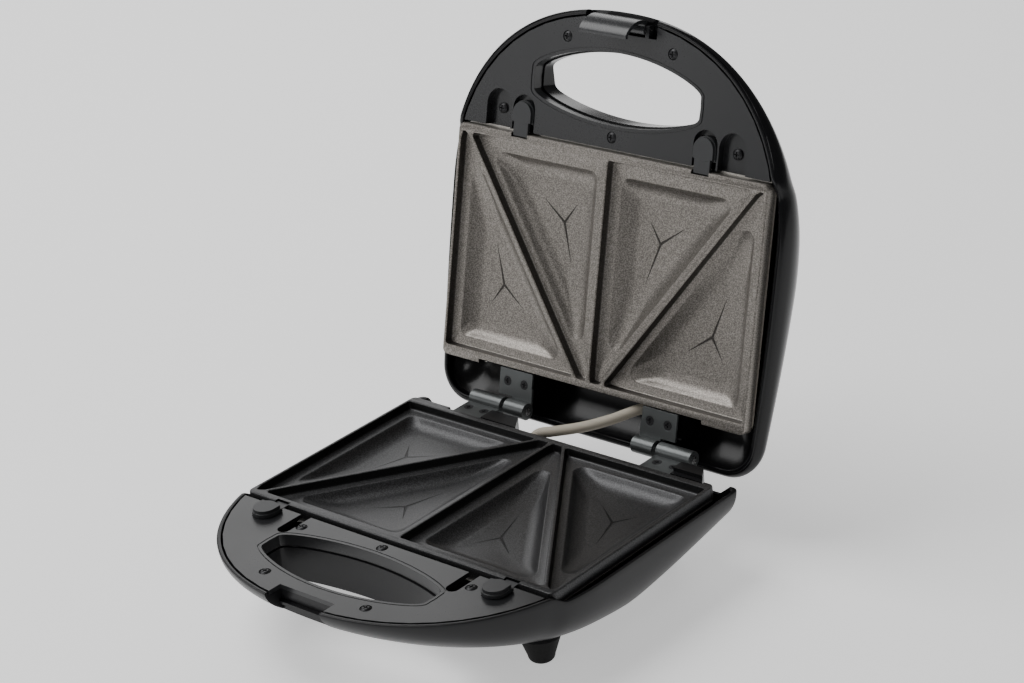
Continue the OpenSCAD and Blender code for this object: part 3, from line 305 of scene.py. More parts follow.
def outline(half_width, front, tail, corner, taper):
    """A half's outline: a full arc round the handle, sides that draw in by taper, rounded back corners."""
    side_y = FRONT + SHOULDER
    t = np.radians(np.linspace(1, 90, FRONT_STEPS + 1))
    share = 2 / FRONT_POWER
    pts = [np.stack([half_width * np.sin(t) ** share, side_y - front * np.cos(t) ** share], 1)]
    f = np.linspace(0, 1, SIDE_STEPS + 1)[1:]
    pts.append(np.stack([half_width - taper * f * f, side_y + (tail - corner - side_y) * f], 1))
    a = np.radians(np.linspace(0, 90, CORNER_STEPS + 1))[1:]
    pts.append(np.stack([half_width - taper - corner + corner * np.cos(a),
                         tail - corner + corner * np.sin(a)], 1))
    half = np.concatenate(pts)
    other = half[::-1].copy()
    other[:, 0] *= -1
    return np.concatenate([half, other])


def base_depth(y):
    """How deep the base is along its length: deepest at the belly, shallow at the handle's tip."""
    front = BASE_H - BASE_TIP_LOSS * np.clip((BELLY_Y - y) / (BELLY_Y - TIP), 0, None) ** 1.4
    back = BASE_H - BASE_TAIL_LOSS * np.clip((y - BELLY_Y) / (BASE_TAIL - BELLY_Y), 0, None) ** 1.4
    return np.where(y < BELLY_Y, front, back)


def lid_depth(y):
    """How deep the lid is along its length: deepest at the crown."""
    rise = LID_H - LID_TIP_LOSS + LID_TIP_LOSS * smooth((y - TIP) / (CROWN_Y - TIP))
    fall = LID_H - LID_TAIL_LOSS * np.clip((y - CROWN_Y) / (LID_TAIL - CROWN_Y), 0, None) ** 1.25
    return np.where(y < CROWN_Y, rise, fall)


def rim_depth(y, handle_rim):
    """The rim steps down from its depth round the handle to its depth beside the plates."""
    return handle_rim + (SIDE_RIM - handle_rim) * smooth((y - STEP_Y) / STEP_RUN)


def base_ring(angle, thick, lift=0.0, shrink=0.0):
    """One ring round the base's skin, at 0 the rim and at 90 the floor, thick under the outer face."""
    a = math.radians(angle)
    e = thick + BASE_TURN * (1 - math.cos(a))
    plan = outline(HALF_W - e - shrink, REACH + SHOULDER - e - shrink,
                   BASE_TAIL - thick - (e - thick) * 0.4 - shrink, max(1.5, 4 - e * 0.4), 0)
    rim = rim_depth(plan[:, 1], BASE_RIM) + lift
    z = -rim - (base_depth(plan[:, 1]) - thick - rim) * math.sin(a)
    return np.column_stack([plan, z])


def lid_ring(inset, share, thick, lift=0.0, shrink=0.0):
    """One ring round the lid's skin, drawn in by inset and sunk by a share of the depth under the rim."""
    e = inset + thick + shrink
    front = REACH + SHOULDER - thick - shrink + (LID_BULGE - inset) * (0.15 if inset < LID_BULGE else 1)
    plan = outline(HALF_W + LID_BULGE - e, front, LID_TAIL - e, max(3, 18 + LID_BULGE - e), 3.3)
    rim = rim_depth(plan[:, 1], LID_RIM) + lift
    z = -rim - (lid_depth(plan[:, 1]) - thick - rim) * share
    return np.column_stack([plan, z])


def loft(rings):
    """Faces from ring to ring, with the first and the last ring closed across from side to side."""
    n, m = len(rings[0]), len(rings)
    faces = [[k * n + i, k * n + (i + 1) % n, (k + 1) * n + (i + 1) % n, (k + 1) * n + i]
             for k in range(m - 1) for i in range(n)]
    for k in (0, m - 1):
        faces += [[k * n + i, k * n + i + 1, k * n + n - 2 - i, k * n + n - 1 - i]
                  for i in range(n // 2 - 1)]
    return np.concatenate(rings), faces


def rim_roll(ring):
    """Rings that roll a wall's edge over from its outer to its inner face."""
    roll = 0.6
    steps = [(0.0, roll), (roll * 0.3, roll * 0.3), (roll, 0.0),
             (WALL - roll, 0.0), (WALL - roll * 0.3, roll * 0.3), (WALL, roll)]
    return [ring(lift, shrink) for shrink, lift in steps]


def hole_points(grow, steps=48):
    """The hand hole's outline: two shallow arcs that meet in blunt ends."""
    x = (HOLE_HALF_W + grow) * np.sin(np.radians(np.linspace(-90, 90, 2 * steps + 1)))
    end = (1 - np.clip(np.abs(x) / (HOLE_HALF_W + grow), 0, 1) ** 8) ** 0.125
    back = HOLE_BACK - x * x / (2 * HOLE_BACK_R) + grow
    front = HOLE_FRONT + x * x / (2 * HOLE_FRONT_R) - grow
    mid, half = (back + front) / 2, (back - front) / 2
    lower = np.column_stack([x, mid - half * end])
    upper = np.column_stack([x, mid + half * end])[-2:0:-1]
    return np.concatenate([lower, upper])


# Screw holes: across, and behind the plates' front edge
BASE_PANEL_HOLES = [(34.3, -56), (-34.3, -56), (0, -7.5), (-51, -13), (65, -14)]
LID_PANEL_HOLES = [(35, -56.3), (-35, -56.3), (0, -7.4)]
LID_POCKET_HOLES = [(78.7, -11), (-78.7, -11)]
TRAY_HOLES = [(x, y) for x in (52, -52) for y in (22, PLATE_D - 25)]
BASE_LEAF_HOLES = [(60, PLATE_D + 8.4), (71, PLATE_D + 8.4)]
LID_LEAF_HOLES = [(43.5, PLATE_D + 5.6), (55.3, PLATE_D + 5.6)]
SCREW_D, BOSS_D, TRAY_BOSS_D = 3.1, 8.0, 9.0
TRAY_PILOT = 6.0
# Each pair of feet: across, along, how far its seat stands out of the casing's floor, and the seat's
# width inside the casing and at the foot
FEET = [(80, FRONT + 15, 2, 15, 23), (66, BACK - 0.5, 3, 11, 19)]
# Under the hinge leaves: a block on each side of the base and a pad on each side of the lid
BLOCK_X, PAD_X = (53, 76.5), (38, 61)
# Raised blocks beside the hinges: the straight side, and the other side at the back and at the front
INNER_REST, OUTER_REST = (-54, -35.5, -29), (76, 90, 96.5)
RECESS_HALF_W = 23.8


def pillars(holes, diameter, top, bottom):
    """Round blocks on a list of screw holes."""
    return [(disc(x, FRONT + y, diameter), top, bottom) for x, y in holes]


def clip_guide(half, under):
    """The block that a release clip slides in, long enough to pass the casing's skin."""
    x = CLIP_X[half]
    return (box_points(x - 6.2, x + 6.2, FRONT - 25, FRONT - 3.4), under + 0.1, 2 * BASE_H)


def clip_trough(half, under):
    """The slot in that block."""
    x, reach = CLIP_X[half], CLIP_W[half] / 2
    return (box_points(x - reach - 0.3, x + reach + 0.3, FRONT - 22, FRONT), under - 1, under + 4.6)


def tail_dip():
    """What the base's back wall lacks between its corners."""
    ring = [(-98, -11.5), (98, -11.5), (106, -5), (-106, -5)]
    verts = [(x, y, z) for y in (BASE_TAIL - 5, BASE_TAIL + 1) for x, z in ring]
    faces = [[0, 1, 2, 3], [4, 5, 6, 7]] + [[i, (i + 1) % 4, 4 + (i + 1) % 4, 4 + i] for i in range(4)]
    return loose("dip", verts, faces, "base")


def rest_points(straight, back, front, start=LEAF_FRONT + 0.3):
    """Outline of a raised block beside a hinge: one side straight, the other drawn in toward the back."""
    end = BACK + 9
    wide = front + (back - front) * (start - LEAF_FRONT - 0.3) / (end - LEAF_FRONT - 0.3)
    return [(straight, start), (wide, start), (back, end), (straight, end)]


def build_base_shell(material):
    """The base casing: rolled rim, hand hole's wall, bosses, guides, seats of the feet and latch ledge."""
    outer = [base_ring(a, 0) for a in range(90, 0, -6)]
    rim = rim_roll(lambda lift, shrink: base_ring(0, 0, lift, shrink))
    inner = [base_ring(a, WALL) for a in range(6, 91, 6)]
    verts, faces = loft(outer + rim + inner)
    piece = new_piece("base_casing", verts, faces, "base", material, "base", "base_shell")
    combine(piece, tail_dip())
    under = BASE_PANEL + PANEL_T
    latch_wall = LEDGE_HALF_W + WALL
    inside = prisms("base", [(hole_points(1.4), BASE_PANEL + 7, BASE_H)]
                    + pillars(BASE_PANEL_HOLES, BOSS_D, under, BASE_H)
                    + pillars(TRAY_HOLES, TRAY_BOSS_D, TRAY_FLOOR, BASE_H)
                    + both([clip_guide("base", under)])
                    + [(box_points(GLAND_X - 9, GLAND_X + 9, BACK - 9, BACK), 25, BASE_H),
                       (box_points(-latch_wall, latch_wall, TIP, LEDGE_Y + WALL), under, BASE_H)])
    middle = loose("middle", *loft([base_ring(a, WALL / 2) for a in range(90, -1, -6)]), "base")
    combine(piece, combine(inside, middle, "INTERSECT"), "UNION")
    seats = []
    for x, y, proud, narrow, wide in FEET:
        seat = float(base_depth(y)) + proud
        seats.append((disc(x, y, wide), seat - 8, seat, narrow / wide))
    hinge_block = box_points(*BLOCK_X, LEAF_FRONT + 0.1, BACK + 11.5)
    for blocks in (both(seats), both([(hinge_block, 3.7, 21.7)]),
                   [(rest_points(*INNER_REST), 0.2, 13.5), (rest_points(*OUTER_REST), 0.2, 13.5)],
                   [(rest_points(*OUTER_REST, BACK + 1.6), -2, 12)]):
        combine(piece, prisms("base", blocks), "UNION")
    combine(piece, prisms("base", [(hole_points(-1), -1, BASE_H + 1)]))
    # The notch for the latch hook, cut back above and below the ledge that it grips
    for deep_y, top, bottom in ((LEDGE_Y, -1, 9), (LEDGE_Y - 2.4, -1, BASE_H), (LEDGE_Y, 10.6, BASE_H)):
        notch = box_points(-LEDGE_HALF_W, LEDGE_HALF_W, TIP - 1, deep_y)
        combine(piece, prisms("base", [(notch, top, bottom)]))
    combine(piece, prisms("base", pillars(BASE_PANEL_HOLES, SCREW_D, under - 1, under + 6.5)
                          + pillars(TRAY_HOLES, SCREW_D, TRAY_FLOOR - 1, TRAY_FLOOR + TRAY_PILOT)
                          + both([clip_trough("base", under)])
                          + both(pillars(BASE_LEAF_HOLES, SCREW_D, 1.2, 12.2))))
    combine(piece, bar("base", (GLAND_X, GLAND_Z), GLAND_R, BACK + 1, BACK + 13))
    smooth_shade(piece.data, 40)
    return piece


def build_lid_cover(material):
    """The lid cover: a rolled rim, a bulging side, the hand hole's wall, bosses and hinge pads."""
    profile = [(1.9, 0.04), (1.2, 0.08), (0.6, 0.14), (0.2, 0.2)]
    for a in np.radians(np.arange(0, 91, 6)).tolist():
        profile.append((LID_TURN * (1 - math.cos(a)), 0.25 + 0.75 * math.sin(a)))
    outer = [lid_ring(i, s, 0) for i, s in profile[::-1]]
    rim = rim_roll(lambda lift, shrink: lid_ring(LID_BULGE, 0, 0, lift, shrink))
    inner = [lid_ring(i, s, WALL) for i, s in profile]
    verts, faces = loft(outer + rim + inner)
    piece = new_piece("lid_casing", verts, faces, "lid", material, "lid", "lid_cover")
    under = LID_PANEL + PANEL_T
    hinge_pad = box_points(*PAD_X, LEAF_FRONT + 0.1, HINGE_Y - 5.75)
    inside = prisms("lid", [(hole_points(1.4), LID_PANEL + 7, LID_H)]
                    + pillars(LID_PANEL_HOLES, BOSS_D, under, LID_H)
                    + pillars(LID_POCKET_HOLES, BOSS_D, LID_POCKET + 1.2, LID_H)
                    + pillars(TRAY_HOLES, TRAY_BOSS_D, TRAY_FLOOR, LID_H)
                    + both([clip_guide("lid", LID_DECK), (hinge_pad, 2, LID_H),
                            (disc(LAMP_X, LAMP_Y, LENS_BOSS_D), LID_H - 8.2, LID_H)]))
    halfway = [lid_ring(i, s, WALL / 2) for i, s in profile[::-1] + [(LID_BULGE, 0)]]
    middle = loose("middle", *loft(halfway), "lid")
    combine(piece, combine(inside, middle, "INTERSECT", True), "UNION")
    combine(piece, prisms("lid", [(hole_points(-1), -1, LID_H + 1)]))
    combine(piece, prisms("lid", [(hole_points(1.7), LID_PANEL, LID_PANEL + 6.6)]))
    combine(piece, prisms("lid", pillars(LID_PANEL_HOLES, SCREW_D, under - 1, under + 5.5)
                          + pillars(LID_POCKET_HOLES, SCREW_D, LID_POCKET - 1, LID_POCKET + 7.5)
                          + pillars(TRAY_HOLES, SCREW_D, TRAY_FLOOR - 1, TRAY_FLOOR + TRAY_PILOT)
                          + both([clip_trough("lid", LID_DECK),
                                  (disc(LAMP_X, LAMP_Y, LENS_D), LID_H - 9.2, LID_H + 1)])
                          + both(pillars(LID_LEAF_HOLES, SCREW_D, -0.5, 10.5))))
    # The exact solver returns an empty mesh for the latch's recess, so the fast one cuts it
    recess = box_points(-RECESS_HALF_W, RECESS_HALF_W, TIP - 5.4, LATCH_Y + 4)
    combine(piece, prisms("lid", [(recess, -1, 7)]), solver="FAST")
    smooth_shade(piece.data, 40)
    return piece


# Plates

# Heights are from the top of a plate's rim: the land round the pockets, the pockets' bowl under it, and
# the underside beside the pockets
LAND, BOWL, PLATE_T = 4.5, 5.5, 7.0
# Where the three creases of a pocket's floor meet, from the middle of its triangle
CREASE_START = np.array([-1.2, 7.0])
# Crease coordinate of what has no crease. On the walls of the ribs the second one is negative, which marks
# them for painted shade.
FAR = 900.0
# The middle line of the right half's slanting rib, from its front to its back end
RIB_A = np.array([PLATE_W / 2 - 8, FRONT + 5.0])
RIB_B = np.array([9.4, BACK - 6.9])
RIB_DIR = (RIB_B - RIB_A) / np.linalg.norm(RIB_B - RIB_A)
RIB_SIDE = np.array([-RIB_DIR[1], RIB_DIR[0]])
# How far the pockets' corners keep from that line, the plate's middle, its side, its front and its back
RIB_GAP, MIDDLE_GAP, SIDE_GAP, FRONT_GAP, BACK_GAP = 6.3, 9.0, 9.0, 12.8, 12.3


def at_y(p, y):
    """The point at y on the line through p along the slanting rib."""
    return np.array([p[0] + RIB_DIR[0] * (y - p[1]) / RIB_DIR[1], y])


def at_x(p, x):
    """The point at x on the line through p along the slanting rib."""
    return np.array([x, p[1] + RIB_DIR[1] * (x - p[0]) / RIB_DIR[0]])


def convex_offset(poly, inset):
    """Corners of a counter-clockwise convex polygon moved in by inset."""
    out = []
    n = len(poly)
    for i in range(n):
        p, q, r = poly[i - 1], poly[i], poly[(i + 1) % n]
        d0, d1 = (q - p) / np.linalg.norm(q - p), (r - q) / np.linalg.norm(r - q)
        n0, n1 = np.array([-d0[1], d0[0]]), np.array([-d1[1], d1[0]])
        k = inset / (1 + n0 @ n1)
        out.append(q + (n0 + n1) * k)
    return out


def rounded_loop(poly, inset, radius, steps=10):
    """The polygon moved in by inset, with its corners rounded."""
    core = convex_offset(poly, inset + radius)
    pts = []
    n = len(core)
    for i in range(n):
        d0, d1 = core[i] - core[i - 1], core[(i + 1) % n] - core[i]
        a0 = math.atan2(d0[1], d0[0]) - math.pi / 2
        turn = (math.atan2(d1[1], d1[0]) - math.pi / 2 - a0) % (2 * math.pi)
        for j in range(steps + 1):
            w = a0 + turn * j / steps
            pts.append(core[i] + radius * np.array([math.cos(w), math.sin(w)]))
    return np.array(pts)


def ray_ring(loop, centre, angles):
    """Where rays from the centre meet a convex loop."""
    rel = loop - centre
    nxt = np.roll(rel, -1, 0)
    out = []
    for a in angles:
        u = np.array([math.cos(a), math.sin(a)])
        cross0 = u[0] * rel[:, 1] - u[1] * rel[:, 0]
        cross1 = u[0] * nxt[:, 1] - u[1] * nxt[:, 0]
        ahead = (rel @ u > 0) | (nxt @ u > 0)
        k = np.where(ahead & (cross0 <= 1e-12) & (cross1 > 1e-12))[0][0]
        t = cross0[k] / (cross0[k] - cross1[k])
        out.append(centre + rel[k] + (nxt[k] - rel[k]) * t)
    return np.array(out)


def bulged(ring, centre):
    """A ring with sides that are curved by a hair, so that no flat face beside it has corners in line."""
    rel = ring - centre
    far = np.sqrt((rel ** 2).sum(1))
    swell = 0.01 * (1 - (far / far.max()) ** 2) + 0.003 * rel[:, 0] / far.max()
    return centre + rel * (1 + swell / far)[:, None]


def incentre(tri):
    """The middle of a triangle's inner circle."""
    a = np.linalg.norm(tri[1] - tri[2])
    b = np.linalg.norm(tri[2] - tri[0])
    c = np.linalg.norm(tri[0] - tri[1])
    return (a * tri[0] + b * tri[1] + c * tri[2]) / (a + b + c)


def half_regions():
    """The two lands of a plate's right half, each with its pocket's corners."""
    inner, outer = RIB_A + RIB_SIDE, RIB_A - RIB_SIDE
    y0, y1, edge = FRONT + 4.5, BACK - 6, PLATE_W / 2 - 2
    land_b = [np.array([1.0, y0]), at_y(inner, y0), at_y(inner, y1), np.array([1.0, y1])]
    land_a = [at_y(outer, y0), np.array([edge, y0]), np.array([edge, y1]), at_y(outer, y1)]
    lin, lout = RIB_A + RIB_SIDE * RIB_GAP, RIB_A - RIB_SIDE * RIB_GAP
    front, back, side = FRONT + FRONT_GAP, BACK - BACK_GAP, PLATE_W / 2 - SIDE_GAP
    tri_b = [np.array([MIDDLE_GAP, front]), at_y(lin, front), at_x(lin, MIDDLE_GAP)]
    tri_a = [at_x(lout, side), np.array([side, back]), at_y(lout, back)]
    return [(land_b, tri_b, False), (land_a, tri_a, True)]


def top_rings(land, tri):
    """From the rim down the ribs' walls, over the land and down the bowl to the floor: each ring as its
    polygon, inset, corner radius and height."""
    rings = [(land, -0.5, 2.0, 0.0), (land, -0.15, 1.65, -0.13), (land, 0.0, 1.5, -0.5),
             (land, 0.3, 1.3, -3.5), (land, 0.55, 1.3, -4.15), (land, 1.1, 1.6, -LAND)]
    rings += [(tri, -1.0, 5.5, -LAND), (tri, -0.45, 5.0, -4.6), (tri, 0.0, 4.6, -4.95)]
    for a in (22, 34, 46, 57, 67, 76, 83):
        s, c = math.sin(math.radians(a)), math.cos(math.radians(a))
        rings.append((tri, 9 * (1 - c) + 1.5 * s, 4.5 + 3.0 * s * (1 - s * s * 0.4), -LAND - BOWL * s))
    for inset, radius in ((9.8, 4.6), (11.5, 3.4), (14.0, 2.2), (17.0, 1.2), (20.0, 0.6), (22.5, 0.25)):
        dish = 0.5 * (1 - ((24.8 - inset) / 15.0) ** 2)
        rings.append((tri, inset, radius, -4.46 - BOWL - dish))
    return rings


def under_rings(tri):
    """From the underside down the bowl's outer face."""
    rings = [(tri, -2.5, 7.5, -PLATE_T)]
    for a in (20, 45, 68, 90):
        s, c = math.sin(math.radians(a)), math.cos(math.radians(a))
        rings.append((tri, 9 * (1 - c) + 1.5 * s - 2.5, 7.0 + 3 * s, -PLATE_T - BOWL * s + 0.02))
    return rings


def ring_points(rings, centre, angles):
    """The rings' points on the same rays from the centre, so that each ring has as many."""
    loops = []
    for poly, inset, radius, z in rings:
        ring = ray_ring(rounded_loop(poly, inset, radius), centre, angles)
        if not loops:
            ring = bulged(ring, centre)
        loops.append(np.column_stack([ring, np.full(len(ring), z)]))
    return loops


def ray_angles(land, tri, centre):
    """Bearings from the centre: one to each corner of both outlines and a few along the land's sides."""
    wide = rounded_loop(land, 0, 1.5, 6)
    following = np.roll(wide, -1, 0)
    counts = [max(1, int(gap / 1.6)) for gap in np.linalg.norm(following - wide, axis=1)]
    dense = np.concatenate([p + (q - p) * np.linspace(0, 1, count + 1)[:-1, None]
                            for p, q, count in zip(wide, following, counts)])
    rel = np.concatenate([dense, rounded_loop(tri, 0, 4.5, 8)]) - centre
    angles = np.sort(np.arctan2(rel[:, 1], rel[:, 0]))
    return angles[np.concatenate([[True], np.diff(angles) > 0.004])]


def plate_mesh():
    """Vertices, faces and crease coordinates of a whole plate."""
    verts, faces, uvs, holes_top, holes_low = [], [], [], [], []

    def add(points, uv):
        start = len(verts)
        verts.extend(points.tolist())
        uvs.extend(uv)
        return list(range(start, start + len(points)))

    def bridge(rings, flip):
        for a, b in zip(rings, rings[1:]):
            for i in range(len(a)):
                k = (i + 1) % len(a)
                quad = [a[i], a[k], b[k], b[i]]
                faces.append(quad[::-1] if flip else quad)

    def close(ring, tip):
        faces.extend([ring[i], ring[(i + 1) % len(ring)], tip] for i in range(len(ring)))

    for side in (1, -1):
        mirror = [side, 1, 1]
        for land, tri, turned in half_regions():
            centre = incentre(tri)
            angles = ray_angles(land, tri, centre)

            def crease(points):
                rel = points[:, :2] - centre
                return ((-rel if turned else rel) - CREASE_START).tolist()

            top = []
            for k, loop in enumerate(ring_points(top_rings(land, tri), centre, angles)):
                # Rings 2 to 4 are the ribs' walls, which the coating darkens as painted shade
                wall = k in (2, 3, 4)
                uv = crease(loop) if k > 6 else [(FAR, -FAR if wall else FAR)] * len(loop)
                top.append(add(loop * mirror, uv))
            floor = np.array([[*centre, -4.98 - BOWL]])
            top_tip = add(floor * mirror, crease(floor))[0]
            low = [add(loop * mirror, [(FAR, FAR)] * len(loop))
                   for loop in ring_points(under_rings(tri), centre, angles)]
            low_tip = add(np.array([[*centre, -PLATE_T - BOWL]]) * mirror, [(FAR, FAR)])[0]
            bridge(top, side < 0)
            bridge(low, side > 0)
            close(top[-1], top_tip)
            close(low[-1], low_tip)
            holes_top.append(top[0])
            holes_low.append(low[0])
    half_w = PLATE_W / 2
    square = [np.array(p) for p in ((-half_w, FRONT), (half_w, FRONT), (half_w, BACK), (-half_w, BACK))]
    edge = []
    for inset, radius, z in ((0.8, 2.7, 0.0), (0.25, 3.25, -0.2), (0.0, 3.5, -0.8), (0.0, 3.5, -PLATE_T)):
        loop = rounded_loop(square, inset, radius, 12)
        edge.append(add(np.column_stack([loop, np.full(len(loop), z)]), [(FAR, FAR)] * len(loop)))
    bridge(edge, False)
    for rim, holes in ((edge[0], holes_top), (edge[-1], holes_low)):
        flat = [i for group in [rim] + holes for i in group]
        for corners in tessellate_polygon([[Vector(verts[i]) for i in group] for group in [rim] + holes]):
            faces.append([flat[k] for k in corners])
    return verts, faces, uvs


def build_plate(name, half, material, node, recess):
    """A cooking plate with its notches for the release clips. Its back edge is cut back up to recess."""
    verts, faces, uvs = plate_mesh()
    piece = new_piece(name, verts, faces, half, material, half, node, 50, uvs)
    reach = CLIP_W[half] / 2 + 0.6
    for x in (-CLIP_X[half], CLIP_X[half]):
        combine(piece, prisms(half, [(box_points(x - reach, x + reach, FRONT - 1, FRONT + 2.2), -2, 3.1)]))
    combine(piece, prisms(half, [(box_points(-76.8, recess, BACK - 2.4, BACK + 1), -2, 12)]))
    smooth_shade(piece.data, 38)
    return piece


# Sleeve and springs

SLEEVE_R = 2.9
YARNS_ROUND, YARN_PITCH = 6.0, 1.1
# Route of the sleeve: across, behind the plates and above their seam
SLEEVE_ROUTE = [(-21.5, 1, -16.5), (-22.5, 3, -12.5), (-22.5, 5, -8.5), (-19, 7, -4.8), (-11.3, 10, -3),
                (-3, 12.8, -0.9), (5, 15.5, 1.4), (13, 18.7, 4.2), (20.8, 22, 7.3), (26.5, 26, 9.8),
                (31, 30, 11.6), (34, 34, 12), (35, 38, 11.8)]


def smooth_route(points, steps=8):
    """A curve through the points (Catmull-Rom)."""
    curve = []
    last = len(points) - 1
    for i in range(last):
        p0, p1, p2, p3 = points[max(0, i - 1)], points[i], points[i + 1], points[min(last, i + 2)]
        for j in range(steps):
            t = j / steps
            curve.append(0.5 * (2 * p1 + (p2 - p0) * t + (2 * p0 - 5 * p1 + 4 * p2 - p3) * t * t
                                + (3 * p1 - p0 - 3 * p2 + p3) * t ** 3))
    curve.append(points[-1])
    return np.array(curve)


def build_sleeve(material):
    """The woven sleeve that carries the leads over the hinge."""
    route = np.array(SLEEVE_ROUTE, float) + [0, BACK, RIM_Z]
    pts = smooth_route(route)
    sides = 24
    verts, uvs, faces = [], [], []
    run = 0.0
    for i, p in enumerate(pts):
        t = pts[min(i + 1, len(pts) - 1)] - pts[max(i - 1, 0)]
        t /= np.linalg.norm(t)
        u = np.cross([0, 0, 1], t)
        u /= np.linalg.norm(u)
        v = np.cross(t, u)
        if i:
            run += np.linalg.norm(p - pts[i - 1])
        for k in range(sides):
            a = 2 * math.pi * k / sides
            verts.append(p + SLEEVE_R * (u * math.cos(a) + v * math.sin(a)))
            uvs.append((YARNS_ROUND * min(k, sides - k) * 2 / sides, run / YARN_PITCH))
    for i in range(len(pts) - 1):
        for k in range(sides):
            a, b = i * sides + k, i * sides + (k + 1) % sides
            faces.append([a, b, b + sides, a + sides])
    faces.append(list(range(sides))[::-1])
    faces.append(list(range((len(pts) - 1) * sides, len(pts) * sides)))
    mesh = bpy.data.meshes.new("woven_lead_sleeve")
    mesh.from_pydata([tuple(v * MM) for v in np.array(verts)], [], faces)
    give_coordinates(mesh, "weave", uvs)
    piece = finish_piece("woven_lead_sleeve", mesh, material, None, "lead_sleeve", 60)
    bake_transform(piece)
    return piece


def build_clip_springs(half, material):
    """The springs of a half's two release clips, one piece for each clip."""
    node = half + "_clip_springs"
    place = PLACES[half]()
    along = (place @ Vector((0, 1, 0)) - place @ Vector((0, 0, 0))).normalized()
    for side, sign in (("left", -1), ("right", 1)):
        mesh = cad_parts[node].data.copy()
        work = bmesh.new()
        work.from_mesh(mesh)
        bmesh.ops.delete(work, geom=[v for v in work.verts if v.co.x * sign < 0], context="VERTS")
        work.to_mesh(mesh)
        work.free()
        piece = finish_piece("%s_clip_spring_%s" % (half, side), mesh, material, None, node, 40)
        reach = [v.co.dot(along) for v in mesh.vertices]
        along * min(reach)
        along * max(reach)
        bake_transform(piece)


# Finishes

# Reach in millimetres and bearing in degrees of the three creases in a pocket's floor
CREASES = [(13.5, 235.0), (18.0, -36.0), (23.0, 108.0)]


def tint(color, k):
    """A colour k times as bright."""
    return tuple(min(1, c * k) for c in color)


class Sock:
    """A shader socket that takes part in Python expressions."""

    def __init__(self, mat, out):
        self.mat, self.out = mat, out

    def math(self, operation, a, b):
        return self.mat.node("ShaderNodeMath", {"operation": operation}, {0: a, 1: b})

    def __add__(self, other):
        return self.math("ADD", self, other)

    def __sub__(self, other):
        return self.math("SUBTRACT", self, other)

    def __rsub__(self, other):
        return self.math("SUBTRACT", other, self)

    def __mul__(self, other):
        return self.math("MULTIPLY", self, other)

    def __truediv__(self, other):
        return self.math("DIVIDE", self, other)

    def max(self, other):
        return self.math("MAXIMUM", self, other)

    def min(self, other):
        return self.math("MINIMUM", self, other)

    def clamp(self):
        return self.max(0.0).min(1.0)


class Finish:
    """A material under construction."""

    def __init__(self, name, color, rough, metal=0.0, **settings):
        self.material = bpy.data.materials.new(name)
        self.material.use_nodes = True
        self.tree = self.material.node_tree
        self.shader = self.tree.nodes["Principled BSDF"]
        self.shader.inputs["Base Color"].default_value = (*color, 1)
        self.shader.inputs["Roughness"].default_value = rough
        self.shader.inputs["Metallic"].default_value = metal
        for key, value in settings.items():
            self.shader.inputs[key.replace("_", " ")].default_value = value

    def node(self, kind, settings=None, inputs=None, out=0):
        made = self.tree.nodes.new(kind)
        for key, value in (settings or {}).items():
            if key == "stops":
                for element, (place, tone) in zip(made.color_ramp.elements, value):
                    element.position = place
                    element.color = (tone, tone, tone, 1)
            else:
                setattr(made, key, value)
        for key, value in (inputs or {}).items():
            self.link(value, made.inputs[key])
        return Sock(self, made.outputs[out])

    def link(self, value, socket):
        if isinstance(value, Sock):
            self.tree.links.new(value.out, socket)
        else:
            socket.default_value = value

    def noise(self, scale, detail):
        place = self.node("ShaderNodeTexCoord", out="Object")
        return self.node("ShaderNodeTexNoise", {}, {"Vector": place, "Scale": scale, "Detail": detail})

    def ramp(self, fac, *stops):
        return self.node("ShaderNodeValToRGB", {"stops": stops}, {"Fac": fac})

    def mix(self, fac, a, b):
        a, b = (tone if isinstance(tone, Sock) else (*tone, 1) for tone in (a, b))
        return self.node("ShaderNodeMix", {"data_type": "RGBA"}, {0: fac, 6: a, 7: b}, 2)

    def set(self, name, value):
        self.link(value, self.shader.inputs[name])

    def bump(self, height, distance, strength):
        self.set("Normal", self.node("ShaderNodeBump", {}, {"Height": height, "Distance": distance * MM,
                                                             "Strength": strength}))


def moulded(name, color, rough, grain, depth, spread=0.12, **settings):
    """Moulded plastic: fine spark-eroded grain, faint cloudy gloss."""
    f = Finish(name, color, rough, **settings)
    fine = f.noise(grain, 3)
    cloud = f.noise(18, 2)
    f.set("Base Color", f.mix(cloud * 0.6 + fine * 0.4, tint(color, 1 - spread), tint(color, 1 + spread)))
    f.set("Roughness", (cloud - 0.5) * 0.12 + (fine - 0.5) * 0.10 + rough)
    f.bump(fine, depth, 0.5)
    return f.material


def gloss_black(name, color, rough):
    """High-gloss moulding: only a long, faint waviness from the mould, and dust-fine grain."""
    f = Finish(name, color, rough, Coat_Roughness=0.06, Specular_IOR_Level=0.28)
    wave = f.noise(9, 1)
    fine = f.noise(900, 2)
    f.set("Coat Weight", 0.05)
    f.set("Roughness", (wave - 0.5) * 0.06 + (fine - 0.5) * 0.05 + rough)
    f.set("Base Color", f.mix(wave, tint(color, 0.85), tint(color, 1.2)))
    f.bump(wave, 0.15, 0.12)
    return f.material


